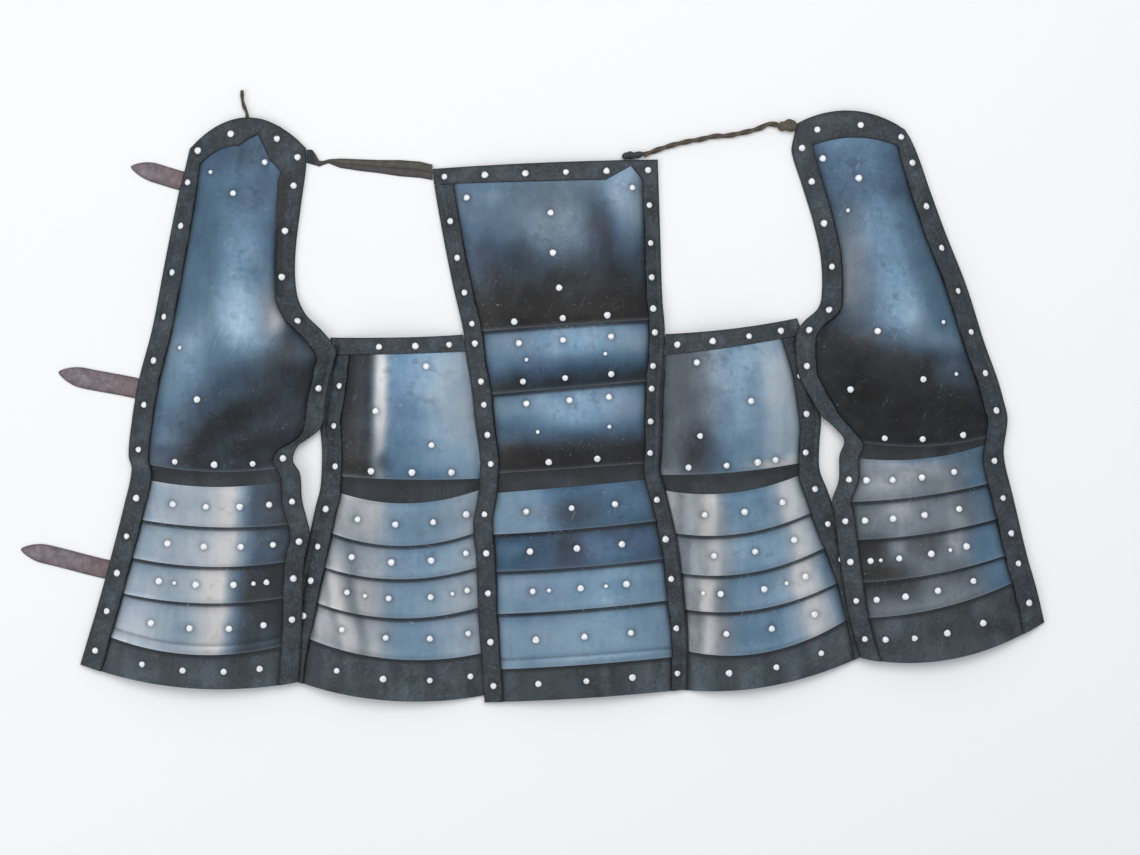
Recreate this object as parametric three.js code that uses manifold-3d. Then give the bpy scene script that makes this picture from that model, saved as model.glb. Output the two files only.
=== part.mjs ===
// A lamellar armour of blued steel riveted to black leather, laid open flat with its outside up.
// Millimetres, +Z up. It lies on Z = 0, and the origin is under the middle of its outline.
// The tables are taken on a cutting table: X runs right from the tip of the lowest strap, and
// Y runs up from the lowest corner of the front hem.
import * as THREE from 'three';
import { mergeVertices } from 'three/addons/utils/BufferGeometryUtils.js';
import Module from 'manifold-3d';

const wasm = await Module();
wasm.setup();

// Thicknesses and laps.
const STEEL = 1.2; // plates and lames
const BORDER = 2.4; // border strips and straps
const LINER = 1.8; // waist bands and hems
const GAP = 0.3; // between two pieces that lie on each other
const LAP = 12; // how far a piece reaches under the one above it
const BORDER_LINE = 13; // from a panel's edge to its border's row of rivets
const SIDE_LINE = 18; // the same on the side panels, whose outer edge is under the back

// Distances in from a panel's side edge: the folded rim, then the edge of the steel.
const RIM = 6;
const STEEL_INSET = 7.5;
const RIM_DROP = 1; // how far the rim reaches below the panel's own surface
const TUCK = 5; // how far a side panel reaches under the front panel's border
const UNDER = 2; // and how far outside that border its own top strip stops
const CELLS = 6; // facets across a panel between its two borders

// The top border has the same rim, as fractions of the way to its inner edge.
const TOP_RIM = 0.2;
const TOP_WALL = 0.25;
const TOP_STEEL = 0.3;
const SEAM = 0.04; // of a facet, between two pieces that meet edge to edge
const WAIST_SEAM = 0.09; // the same between the strips above and below the waist

// How far each kind of steel piece stands off the panel's own surface at its two ends, so that
// it clears what lies under it.
const OVER_LINER = LINER + GAP;
const OVER_STEEL = STEEL + 2 * GAP;
const LAME_RISE = 2; // a lame's lower edge, over the next lame
const HEM_RISE = 2.9; // the lowest lame's lower edge, over the hem

const RIVET = { radius: 4.5, rise: 2.4 };
const SMALL_RIVET = { radius: 3, rise: 1.6 };
const RIVET_SIDES = 6;
const SUNK = 0.6; // depth of a rivet's foot in the piece it holds

const FINISHES = {
  steel: { color: 0x5d7f9f, roughness: 0.32, metalness: 1 },
  leather: { color: 0x2b3134, roughness: 0.62, metalness: 0 },
  strap: { color: 0x5f5354, roughness: 0.75, metalness: 0 },
  thong: { color: 0x4a4438, roughness: 0.7, metalness: 0 },
};

const armour = new THREE.Group();
const DOWN = new THREE.Vector3(0, 0, -1);
const UP = new THREE.Vector3(0, 0, 1);
const CEILING = 200; // above everything, where the search for a rivet's seat starts

// A smooth curve x(y) through a table of [y, x], from the highest y down.
function curveThrough(table) {
  const slope = table.map((row, k) => {
    const before = table[Math.max(k - 1, 0)];
    const after = table[Math.min(k + 1, table.length - 1)];
    return (after[1] - before[1]) / (after[0] - before[0]);
  });
  return (y) => {
    let k = table.findIndex((row) => row[0] <= y);
    k = THREE.MathUtils.clamp(k < 0 ? table.length - 1 : k, 1, table.length - 1);
    const [y0, x0] = table[k - 1];
    const [y1, x1] = table[k];
    const h = y1 - y0;
    const t = THREE.MathUtils.clamp((y - y0) / h, 0, 1);
    const ease = t * t * (3 - 2 * t);
    const bend = t * (1 - t) * h * ((1 - t) * slope[k - 1] - t * slope[k]);
    return x0 + (x1 - x0) * ease + bend;
  };
}

// Adds the hidden rows: one a lap above the lower edge of every steel piece, where the next
// piece starts under it, and one a lap below the top edge of the first skirt lame.
function withLaps(rows) {
  const moved = (row, next, kind, rise) => {
    const share = Math.abs(rise / (next.y[1] - row.y[1]));
    const blend = (key) => THREE.MathUtils.lerp(row[key], next[key], share);
    const y = row.y.map((value) => value + rise);
    return { kind, y, arch: blend('arch'), liftL: blend('liftL'), liftR: blend('liftR') };
  };
  return rows.flatMap((row, k) => {
    if (row.kind === 'end') return [moved(row, rows[k - 1], 'lap', LAP), row];
    if (row.kind === 'start') return [row, moved(row, rows[k + 1], 'lap', -LAP)];
    return [row];
  });
}

// A panel is a grid of points: columns run from its left edge to its right edge, and rows from
// its top edge to its hem. Every piece on it takes some of the columns and rows, moved out.
function makePanel({ name, left, right, borders, peak, notch, rims, tucked = {}, table }) {
  const named = ([kind, yl, ym, yr, arch, liftL, liftR]) => ({ kind, y: [yl, ym, yr], arch, liftL, liftR });
  const rows = withLaps(table.map(named));
  const last = rows.length - 1;
  const n = CELLS + 6;
  const inset = (side) => (tucked[side] ? [0, TUCK + GAP, TUCK + UNDER] : [0, RIM, STEEL_INSET]);
  const stepsL = [...inset('left'), borders[0]];
  const stepsR = [...inset('right'), borders[1]];

  // A point of one row, a given distance in from its left edge.
  const onRow = (row, distance, extra = 0) => {
    const [yl, ym, yr] = row.y;
    const xl = left(yl);
    const width = right(yr) - xl;
    const u = distance / width;
    const bulge = (ym - (yl + yr) / 2) * 4 * u * (1 - u);
    const flat = [stepsL[2], stepsR[2]];
    const s = THREE.MathUtils.clamp((distance - flat[0]) / (width - flat[0] - flat[1]), 0, 1);
    const off = s < peak ? (peak - s) / peak : (s - peak) / (1 - peak);
    const z = THREE.MathUtils.lerp(row.liftL, row.liftR, u) + row.arch * (1 - off * off);
    return new THREE.Vector3(xl + distance, THREE.MathUtils.lerp(yl, yr, u) + bulge + extra, z);
  };
  const widthOf = (row) => right(row.y[2]) - left(row.y[0]);
  // The lines between the two borders are even, but a notch has one at its foot and one at its point.
  const between = (i, from, to, width) => {
    if (!notch) return THREE.MathUtils.lerp(from, to, (i - 3) / CELLS);
    const { column, foot, point } = notch;
    if (i < column) return THREE.MathUtils.lerp(from, foot * width, (i - 3) / (column - 4));
    return THREE.MathUtils.lerp(point * width, to, (i - column) / (n - 3 - column));
  };
  const node = (i, j) => {
    const row = rows[j];
    const width = widthOf(row);
    let distance = between(i, stepsL[3], width - stepsR[3], width);
    if (i < 3) distance = stepsL[i];
    if (i > n - 3) distance = width - stepsR[n - i];
    return onRow(row, distance, notch && row.kind === 'inner' && i === notch.column ? notch.rise : 0);
  };
  const grid = rows.map((row, j) => Array.from({ length: n + 1 }, (_, i) => node(i, j)));

  // Between the grid's points everything is a straight blend.
  const blend = (table4, i, j) => {
    const i0 = Math.min(Math.floor(i), n - 1);
    const j0 = Math.min(Math.floor(j), last - 1);
    const upper = table4[j0][i0].clone().lerp(table4[j0][i0 + 1], i - i0);
    const lower = table4[j0 + 1][i0].clone().lerp(table4[j0 + 1][i0 + 1], i - i0);
    return upper.lerp(lower, j - j0);
  };
  const normals = grid.map((line, j) => line.map((point, i) => {
    const across = grid[j][Math.min(i + 1, n)].clone().sub(grid[j][Math.max(i - 1, 0)]);
    const along = grid[Math.max(j - 1, 0)][i].clone().sub(grid[Math.min(j + 1, last)][i]);
    return across.cross(along).normalize();
  }));

  const ends = rows.flatMap((row, j) => (row.kind === 'end' ? [j] : []));
  const start = rows.findIndex((row) => row.kind === 'start');
  const panel = { name, rows, last, n, ends, start, rims, tucked, notch, flats: [] };
  panel.put = (i, j, off) => {
    const point = blend(grid, i, j);
    if (off === 'rim') return point.setZ(Math.max(point.z - RIM_DROP, 0));
    return point.addScaledVector(blend(normals, i, j).normalize(), off);
  };
  // The place on the plan at a share of the panel's width, or a distance in from one side.
  panel.spot = (share, j) => {
    const j0 = Math.min(Math.floor(j), last - 1);
    const at = (row) => onRow(row, share * widthOf(row));
    return at(rows[j0]).lerp(at(rows[j0 + 1]), j - j0);
  };
  panel.inFrom = (side, distance, j) => {
    const width = widthOf(rows[Math.round(j)]);
    return panel.spot(side === 'left' ? distance / width : 1 - distance / width, j);
  };
  // The panel's left edge at a height on the plan.
  panel.leftAt = (y) => {
    const j = rows.findIndex((row) => row.y[0] < y);
    const [above, below] = [grid[j - 1][0], grid[j][0]];
    return THREE.MathUtils.mapLinear(y, above.y, below.y, above.x, below.x);
  };
  // The row, with its fraction, where the panel's middle line reaches a height on the plan.
  panel.rowAt = (y) => {
    const j = rows.findIndex((row) => row.y[1] < y);
    const [above, below] = [rows[j - 1].y[1], rows[j].y[1]];
    return j - 1 + (above - y) / (above - below);
  };
  // How high a border strip has to stand to clear the steel and the liners under it.
  panel.clear = (j) => {
    const over = panel.flats.filter((flat) => j >= flat.from && j <= flat.to);
    return GAP + Math.max(STEEL, ...over.map((flat) => flat.off(j) + flat.thick));
  };
  return panel;
}

// A wall over some of a panel's cells. under and over say how far its two faces stand off.
function wall(panel, { cols, rows, keep = () => true, under, over }) {
  const face = (side) => rows.map((j) => cols.map((i) => panel.put(i, j, side(i, j))));
  const low = face(under);
  const high = face(over);
  const kept = (a, b) => a >= 0 && b >= 0 && a < cols.length - 1 && b < rows.length - 1
    && keep(cols[a], rows[b]);
  const out = [];
  const quad = (p, q, r, s) => out.push(p, q, r, p, r, s);
  for (let b = 0; b < rows.length - 1; b += 1) {
    for (let a = 0; a < cols.length - 1; a += 1) {
      if (!kept(a, b)) continue;
      quad(high[b][a], high[b + 1][a], high[b + 1][a + 1], high[b][a + 1]);
      const under4 = [low[b][a], low[b + 1][a], low[b + 1][a + 1], low[b][a + 1]];
      out.push(under4[0], under4[2], under4[1], under4[0], under4[3], under4[2]);
      const side = (ja, ia, jb, ib) => quad(high[ja][ia], low[ja][ia], low[jb][ib], high[jb][ib]);
      if (!kept(a - 1, b)) side(b, a, b + 1, a);
      if (!kept(a, b + 1)) side(b + 1, a, b + 1, a + 1);
      if (!kept(a + 1, b)) side(b + 1, a + 1, b, a + 1);
      if (!kept(a, b - 1)) side(b, a + 1, b, a);
    }
  }
  return new THREE.BufferGeometry().setFromPoints(out);
}

// A strip between two edges, one station after another: [x, y of one edge, y of the other, z].
function ribbon(stations, thick) {
  const rings = stations.map(([x, y0, y1, z]) => [
    new THREE.Vector3(x, y0, z),
    new THREE.Vector3(x, y1, z),
    new THREE.Vector3(x, y1, z + thick),
    new THREE.Vector3(x, y0, z + thick),
  ]);
  const out = [];
  const quad = (p, q, r, s) => out.push(p, q, r, p, r, s);
  for (let k = 0; k + 1 < rings.length; k += 1) {
    for (let e = 0; e < 4; e += 1) {
      const f = (e + 1) % 4;
      quad(rings[k][e], rings[k][f], rings[k + 1][f], rings[k + 1][e]);
    }
  }
  const end = rings[rings.length - 1];
  quad(rings[0][3], rings[0][2], rings[0][1], rings[0][0]);
  quad(end[0], end[1], end[2], end[3]);
  return new THREE.BufferGeometry().setFromPoints(out);
}

// A tube of a round cord along a route.
function tube(route, radius, steps, sides) {
  const section = new THREE.Shape().absarc(0, 0, radius, 0, 2 * Math.PI);
  const path = new THREE.CatmullRomCurve3(route.map((point) => new THREE.Vector3(...point)));
  return new THREE.ExtrudeGeometry(section, { steps, curveSegments: sides / 2, extrudePath: path });
}

function toSolid(geometry) {
  const bare = geometry.clone();
  bare.deleteAttribute('normal');
  bare.deleteAttribute('uv');
  const merged = mergeVertices(bare, 1e-3);
  return new wasm.Manifold(new wasm.Mesh({
    numProp: 3,
    vertProperties: new Float32Array(merged.attributes.position.array),
    triVerts: new Uint32Array(merged.index.array),
  }));
}

function fromSolid(solid) {
  const mesh = solid.getMesh();
  const geometry = new THREE.BufferGeometry();
  geometry.setAttribute('position', new THREE.BufferAttribute(mesh.vertProperties, 3));
  geometry.setIndex(new THREE.BufferAttribute(mesh.triVerts, 1));
  return geometry;
}

// A six-sided cone whose radius is right where it leaves the surface.
function rivetHead({ radius, rise }) {
  const foot = (radius * (rise + SUNK)) / rise;
  const profile = [[0, -SUNK], [foot, -SUNK], [0, rise]].map(([x, y]) => new THREE.Vector2(x, y));
  return toSolid(new THREE.LatheGeometry(profile, RIVET_SIDES).rotateX(Math.PI / 2));
}

// Fuses rivet heads onto a piece. Each one is seated where a line straight down meets the piece.
function withRivets(geometry, places) {
  if (places.length === 0) return geometry;
  const target = new THREE.Mesh(geometry);
  let solid = toSolid(geometry);
  for (const { x, y, size } of places) {
    const ray = new THREE.Raycaster(new THREE.Vector3(x, y, CEILING), DOWN);
    const [seat] = ray.intersectObject(target);
    if (!seat) throw new Error(`no seat for the rivet at ${x}, ${y}`);
    const turn = new THREE.Quaternion().setFromUnitVectors(UP, seat.face.normal);
    const place = new THREE.Matrix4().compose(seat.point, turn, new THREE.Vector3(1, 1, 1));
    solid = solid.add(rivetHead(size).transform(place.toArray()));
  }
  return fromSolid(solid);
}

function addPiece(name, geometry, finish, places = []) {
  const mesh = new THREE.Mesh(withRivets(geometry, places), new THREE.MeshStandardMaterial(FINISHES[finish]));
  mesh.name = name;
  armour.add(mesh);
}

// A rivet's place on the plan, with its size.
const at = (point, size = RIVET) => ({ x: point.x, y: point.y, size });
const range = (from, to) => Array.from({ length: to - from + 1 }, (_, k) => from + k);

// Even rivets along a border strip, between two rows.
function alongBorder(panel, side, from, to, count, line = BORDER_LINE) {
  const steps = 40;
  const row = (k) => THREE.MathUtils.lerp(from, to, k / steps);
  const route = range(0, steps).map((k) => panel.inFrom(side, line, row(k)).setZ(0));
  const flat = new THREE.CatmullRomCurve3(route);
  return flat.getSpacedPoints(count - 1).map((point) => at(point));
}

// Rivets along a side border, at the given heights on the cutting table.
function atHeights(panel, side, heights, line = BORDER_LINE) {
  const route = range(0, 400).map((k) => panel.inFrom(side, line, (panel.last * k) / 400));
  return heights.map((y) => at(route.find((point) => point.y <= y)));
}

// The rows of each lame's middle line, where its rivets are.
function lameLines(panel) {
  const edges = [panel.start, ...panel.ends.filter((j) => j > panel.start)];
  const height = (j) => panel.rows[j].y[1];
  return edges.slice(1).map((j, k) => panel.rowAt((height(j) + height(edges[k])) / 2));
}

// A piece that fills the panel from side to side, between two rows.
function flatPiece(panel, suffix, finish, thick, rowList, off, places) {
  const { n, tucked } = panel;
  const cols = range(tucked.left ? 0 : 2, tucked.right ? n : n - 2);
  const geometry = wall(panel, {
    cols,
    rows: rowList,
    under: (i, j) => off(j),
    over: (i, j) => off(j) + thick,
  });
  panel.flats.push({ from: rowList[0], to: rowList[rowList.length - 1], off, thick });
  addPiece(suffix, geometry, finish, places);
}

// Stands a piece off its panel evenly more from its first row to its last.
function ramp(panel, from, to, rise) {
  const height = (j) => panel.rows[j].y[1];
  return (j) => (rise * (height(from) - height(j))) / (height(from) - height(to));
}

// The upper plate of a panel, the waist band behind its lower edge, and the skirt.
function steelAndLiners(panel, { plate, plateRivets, studs, smallStuds, lameNames, extra = [] }) {
  const { name, ends, start, last } = panel;
  const upper = ends.filter((j) => j < start);
  const skirt = ends.filter((j) => j > start);
  const lowest = upper[upper.length - 1];

  const plateEnd = upper[0];
  const standOff = upper.length > 1 ? OVER_STEEL : OVER_LINER;
  const plateOff = (j) => (j >= plateEnd - 1 ? standOff : 0);
  flatPiece(panel, plate, 'steel', STEEL, [TOP_STEEL, ...range(1, plateEnd)], plateOff, plateRivets);
  extra.forEach((lame, k) => {
    const [from, to] = [upper[k] - 1, upper[k + 1]];
    const off = ramp(panel, from, to, lame.rise);
    flatPiece(panel, lame.name, 'steel', STEEL, range(from, to), off, lame.rivets);
  });

  flatPiece(panel, `${name}_band`, 'leather', LINER, range(lowest - 1, start + 1), () => 0, []);

  const lines = lameLines(panel);
  skirt.forEach((end, k) => {
    const from = k === 0 ? start : skirt[k - 1] - 1;
    const rise = k === skirt.length - 1 ? HEM_RISE : LAME_RISE;
    const off = k === 0 ? () => OVER_LINER : ramp(panel, from, end, rise);
    const rivets = studs.map((share) => at(panel.spot(share, lines[k])));
    const small = k === 2 ? smallStuds.map((share) => at(panel.spot(share, lines[k]), SMALL_RIVET)) : [];
    flatPiece(panel, `${lameNames}_${k + 1}`, 'steel', STEEL, range(from, end), off, [...rivets, ...small]);
  });

  const hemTop = skirt[skirt.length - 1] - 1;
  const hemLine = (hemTop + 1 + last) / 2;
  const hemRivets = studs.map((share) => at(panel.spot(share, hemLine)));
  flatPiece(panel, `${name}_hem`, 'leather', LINER, range(hemTop, last), () => 0, hemRivets);
}

// One border strip. keep says which cells it has, and rim where it folds down.
function borderStrip(panel, suffix, { cols, rows, keep, rim }, places) {
  const outer = (i, j) => i === 0 || i === panel.n || j === 0;
  const geometry = wall(panel, {
    cols,
    rows,
    keep,
    under: (i, j) => (rim(i, j) ? 'rim' : panel.clear(j)),
    over: (i, j) => panel.clear(j) + BORDER * (outer(i, j) ? 0.5 : 1),
  });
  addPiece(`${panel.name}_border_${suffix}`, geometry, 'leather', places);
}

const topRows = [0, TOP_RIM, TOP_WALL];
const sideCols = { left: [0, 1, 2, 3], right: (n) => [n - 3, n - 2, n - 1, n] };

// Where a strip folds down: along the top, and down each side as far as rims says.
function rimOf(panel) {
  const { n, rims } = panel;
  return (i, j) => j <= TOP_RIM || (i <= 1 && j < rims[0]) || (i >= n - 1 && j < rims[1]);
}

// The armour's five panels, as tables.
//
// left and right: the panel's two edges, as [y, x] from the shoulder down.
// borders: width of the border strip on each side. peak: where across the panel it is highest.
// rims: how many rows of each side's border fold down. The rest of it lies over the next panel.
// table: [kind, y at the left edge, y in the middle, y at the right edge, height of the arch,
//   height of the left edge, height of the right edge]
// The kinds are the top edge, the inner edge of the top border, form for a row that only shapes
// the panel, the end of a plate or lame, the start of the skirt's first lame, and the hem.

const ALL = 99; // more rows than any panel has

const frontLeft = curveThrough([
  [692, 537], [676, 538], [612, 549], [541, 563], [485, 576], [455, 580], [406, 588], [360, 593],
  [315, 599], [291, 598], [263, 595], [234, 590], [185, 594], [107, 597], [48, 601], [0, 604],
]);
const frontRight = curveThrough([
  [705, 829], [614, 832], [523, 835], [484, 838], [445, 836], [393, 833], [328, 832], [299, 831],
  [281, 836], [263, 841], [224, 850], [181, 857], [133, 862], [81, 867], [17, 867],
]);

const backL = makePanel({
  name: 'back_l',
  left: curveThrough([
    [719, 221], [685, 213], [663, 207], [573, 189], [484, 172], [419, 155], [367, 146], [321, 142],
    [303, 146], [263, 138], [133, 104], [49, 79],
  ]),
  right: curveThrough([
    [720, 372], [695, 372], [643, 365], [580, 358], [532, 360], [504, 372], [481, 395], [458, 412],
    [442, 409], [412, 402], [385, 398], [362, 395], [349, 385], [335, 364], [315, 356], [298, 365],
    [263, 368], [235, 375], [218, 378], [185, 371], [81, 367], [27, 363],
  ]),
  borders: [28, 26],
  peak: 0.46,
  notch: { column: 7, foot: 0.5, point: 0.65, rise: 22 },
  rims: [ALL, 6],
  table: [
    ['top', 719, 759, 720, 4, 0.5, 0.5],
    ['inner', 660, 722, 650, 9, 0.5, 0.5],
    ['form', 632, 652, 618, 19, 0.5, 0.5],
    ['form', 597, 606, 596, 26, 0.5, 0.5],
    ['form', 555, 559, 568, 32, 0.5, 0.5],
    ['form', 503, 506, 527, 38, 0.5, 2],
    ['form', 458, 455, 481, 38, 0.5, 8],
    ['form', 408, 403, 440, 34, 0.5, 8],
    ['form', 360, 354, 386, 27, 0.5, 8],
    ['end', 315, 300, 307, 18, 0.5, 8],
    ['start', 294, 280, 292, 16, 0.5, 8],
    ['end', 242, 228, 234, 18, 0.5, 8],
    ['end', 194, 177, 187, 20, 0.5, 8],
    ['end', 148, 130, 140, 22, 0.5, 9],
    ['end', 95, 64, 81, 23, 0.5, 10],
    ['hem', 49, 20, 27, 15, 0.5, 10],
  ],
});

const sideL = makePanel({
  name: 'side_l',
  left: curveThrough([
    [473, 404], [412, 398], [364, 391], [324, 393], [280, 391], [255, 385], [203, 374], [159, 365],
    [112, 355], [68, 346], [16, 339],
  ]),
  right: (y) => frontLeft(y) + TUCK,
  borders: [28, 24],
  peak: 0.36,
  rims: [ALL, 0],
  tucked: { right: true },
  table: [
    ['top', 474, 473, 478, 16, 0.5, 2.5],
    ['inner', 450, 451, 455, 20, 0.5, 2.5],
    ['form', 411, 411, 412, 26, 0.5, 2.5],
    ['form', 364, 364, 366, 28, 0.5, 2.5],
    ['end', 296, 290, 291, 25, 0.5, 2.5],
    ['start', 282, 259, 278, 21, 0.5, 2.5],
    ['end', 231, 204, 222, 22, 0.5, 2.5],
    ['end', 185, 161, 177, 24, 0.5, 2.5],
    ['end', 140, 111, 125, 25, 0.5, 2.5],
    ['end', 94, 59, 65, 25, 0.5, 2.5],
    ['hem', 34, 4, 10, 17, 0.5, 2.5],
  ],
});

const front = makePanel({
  name: 'front',
  left: frontLeft,
  right: frontRight,
  borders: [25, 21],
  peak: 0.5,
  notch: { column: 8, foot: 0.765, point: 0.877, rise: 18 },
  rims: [6, 6],
  table: [
    ['top', 693, 700, 705, 8, 0.5, 0.5],
    ['inner', 672, 675, 679, 14, 0.5, 0.5],
    ['form', 633, 633, 633, 30, 0.5, 0.5],
    ['form', 588, 588, 588, 38, 0.5, 0.5],
    ['form', 538, 541, 546, 35, 0.5, 0.5],
    ['end', 480, 489, 498, 25, 3, 3],
    ['form', 441, 449, 460, 30, 3, 3],
    ['end', 398, 408, 419, 21, 3, 3],
    ['form', 349, 357, 366, 29, 3, 3],
    ['end', 296, 304, 312, 17, 3, 3],
    ['start', 270, 280, 291, 15, 3, 3],
    ['end', 217, 225, 238, 18, 3, 3],
    ['end', 169, 176, 189, 20, 3, 3],
    ['end', 114, 122, 135, 22, 3, 3],
    ['end', 42, 51, 61, 23, 3, 3],
    ['hem', 0, 7, 17, 15, 3, 3],
  ],
});

const sideR = makePanel({
  name: 'side_r',
  left: (y) => frontRight(y) - TUCK,
  right: curveThrough([
    [499, 1010], [464, 1022], [429, 1032], [393, 1038], [364, 1041], [339, 1039], [303, 1039], [276, 1049],
    [243, 1061], [200, 1078], [155, 1093], [107, 1104], [61, 1113], [39, 1118],
  ]),
  borders: [24, 28],
  peak: 0.38,
  rims: [0, ALL],
  tucked: { left: true },
  table: [
    ['top', 478, 484, 499, 16, 2.6, 0.5],
    ['inner', 449, 460, 477, 20, 2.6, 0.5],
    ['form', 403, 408, 429, 26, 2.6, 0.5],
    ['form', 360, 361, 384, 28, 2.6, 0.5],
    ['end', 296, 300, 316, 25, 2.6, 0.5],
    ['start', 277, 274, 307, 21, 2.6, 0.5],
    ['end', 221, 222, 260, 22, 2.6, 0.5],
    ['end', 169, 172, 216, 24, 2.6, 0.5],
    ['end', 122, 125, 170, 25, 2.6, 0.5],
    ['end', 68, 70, 125, 25, 2.6, 0.5],
    ['hem', 16, 25, 68, 17, 2.6, 0.5],
  ],
});

const backR = makePanel({
  name: 'back_r',
  left: curveThrough([
    [752, 1010], [731, 1005], [715, 1003], [676, 1015], [624, 1031], [576, 1041], [528, 1042], [510, 1036],
    [494, 1018], [477, 1008], [429, 1010], [412, 1017], [393, 1028], [373, 1040], [358, 1056], [341, 1070],
    [321, 1064], [289, 1063], [261, 1054], [247, 1057], [198, 1063], [140, 1071], [100, 1079],
    [58, 1092],
  ]),
  right: curveThrough([
    [744, 1150], [731, 1158], [705, 1169], [667, 1182], [612, 1202], [541, 1230], [468, 1253],
    [421, 1270], [393, 1278], [369, 1283], [328, 1278], [308, 1280], [268, 1290], [188, 1309],
    [146, 1321], [104, 1331],
  ]),
  borders: [26, 28],
  peak: 0.56,
  rims: [6, ALL],
  table: [
    ['top', 752, 768, 744, 4, 0.5, 0.5],
    ['inner', 711, 733, 709, 8, 0.5, 0.5],
    ['form', 659, 668, 666, 16, 0.5, 0.5],
    ['form', 607, 611, 619, 25, 0.5, 0.5],
    ['form', 558, 558, 572, 32, 0.5, 0.5],
    ['form', 522, 507, 525, 38, 2, 0.5],
    ['form', 477, 464, 478, 38, 10, 0.5],
    ['form', 412, 412, 432, 34, 10, 0.5],
    ['form', 370, 369, 386, 28, 10, 0.5],
    ['end', 343, 333, 352, 20, 10, 0.5],
    ['start', 321, 317, 345, 16, 10, 0.5],
    ['end', 260, 268, 291, 18, 10, 0.5],
    ['end', 211, 220, 246, 20, 10, 0.5],
    ['end', 155, 168, 200, 22, 11, 0.5],
    ['end', 110, 125, 168, 23, 12, 0.5],
    ['hem', 58, 58, 104, 15, 12, 0.5],
  ],
});

// Rivets that hold the upper plates, by their place on the cutting table.
const places = (list, size = RIVET) => list.map(([x, y]) => ({ x, y, size }));

// A row of rivets at given shares of the width, a distance above a piece's lower edge.
function edgeRow(panel, end, shares, above = 9, size = RIVET) {
  const j = panel.rowAt(panel.rows[panel.ends[end]].y[1] + above);
  return shares.map((share) => at(panel.spot(share, j), size));
}

steelAndLiners(backL, {
  plate: 'back_l_plate',
  plateRivets: [
    ...places([[279, 660], [319, 701], [234, 393]]),
    ...places([[249, 688], [211, 460]], SMALL_RIVET),
    ...edgeRow(backL, 0, [0.29, 0.53, 0.76]),
  ],
  lameNames: 'back_l_lame',
  studs: [0.27, 0.46, 0.65, 0.815],
  smallStuds: [0.35, 0.75],
});

steelAndLiners(sideL, {
  plate: 'side_l_plate',
  plateRivets: [
    ...places([[529, 436], [464, 378], [536, 334]]),
    ...edgeRow(sideL, 0, [0.31, 0.56, 0.8]),
  ],
  lameNames: 'side_l_lame',
  studs: [0.26, 0.49, 0.72, 0.92],
  smallStuds: [0.36, 0.84],
});

steelAndLiners(front, {
  plate: 'chest_plate',
  plateRivets: [
    ...places([[581, 655], [796, 668], [690, 634], [693, 582], [701, 537]]),
    ...edgeRow(front, 0, [0.26, 0.5, 0.72]),
  ],
  extra: [
    {
      name: 'waist_lame_1',
      rise: LAME_RISE,
      rivets: [
        ...edgeRow(front, 1, [0.27, 0.49, 0.73], 62),
        ...edgeRow(front, 1, [0.27, 0.49, 0.73], 13),
        ...edgeRow(front, 1, [0.3, 0.7], 40, SMALL_RIVET),
      ],
    },
    {
      name: 'waist_lame_2',
      rise: 2.5,
      rivets: [
        ...edgeRow(front, 2, [0.28, 0.51, 0.72], 88),
        ...edgeRow(front, 2, [0.38, 0.65], 10),
        ...edgeRow(front, 2, [0.33, 0.72], 50, SMALL_RIVET),
      ],
    },
  ],
  lameNames: 'front_lame',
  studs: [0.27, 0.505, 0.73],
  smallStuds: [0.35, 0.63],
});

steelAndLiners(sideR, {
  plate: 'side_r_plate',
  plateRivets: [
    ...places([[879, 441], [949, 391], [883, 346]]),
    ...edgeRow(sideR, 0, [0.2, 0.43, 0.62, 0.73]),
  ],
  lameNames: 'side_r_lame',
  studs: [0.24, 0.49, 0.73],
  smallStuds: [0.14, 0.62],
});

steelAndLiners(backR, {
  plate: 'back_r_plate',
  plateRivets: [
    ...places([[1043, 706], [1089, 680], [1111, 481], [1170, 419], [1077, 406]]),
    ...places([[1075, 638], [1197, 493], [1214, 426]], SMALL_RIVET),
    ...edgeRow(backR, 0, [0.27, 0.49, 0.73]),
  ],
  lameNames: 'back_r_lame',
  studs: [0.165, 0.32, 0.495, 0.69],
  smallStuds: [0.22, 0.6],
});

// Rivets of a border strip beside the skirt: one at each lame and, if asked, one at the hem.
function skirtRivets(panel, side, withHem) {
  const hem = withHem ? [(panel.ends[panel.ends.length - 1] + panel.last) / 2] : [];
  return [...lameLines(panel), ...hem].map((j) => at(panel.inFrom(side, BORDER_LINE, j)));
}

const waistRow = (panel) => panel.ends.filter((j) => j < panel.start).pop();
const notTucked = (panel) => range(panel.tucked.left ? 2 : 0, panel.n - (panel.tucked.right ? 2 : 0));

function topRivets(panel, shares, row = 0.52) {
  return shares.map((share) => at(panel.spot(share, row)));
}

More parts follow.
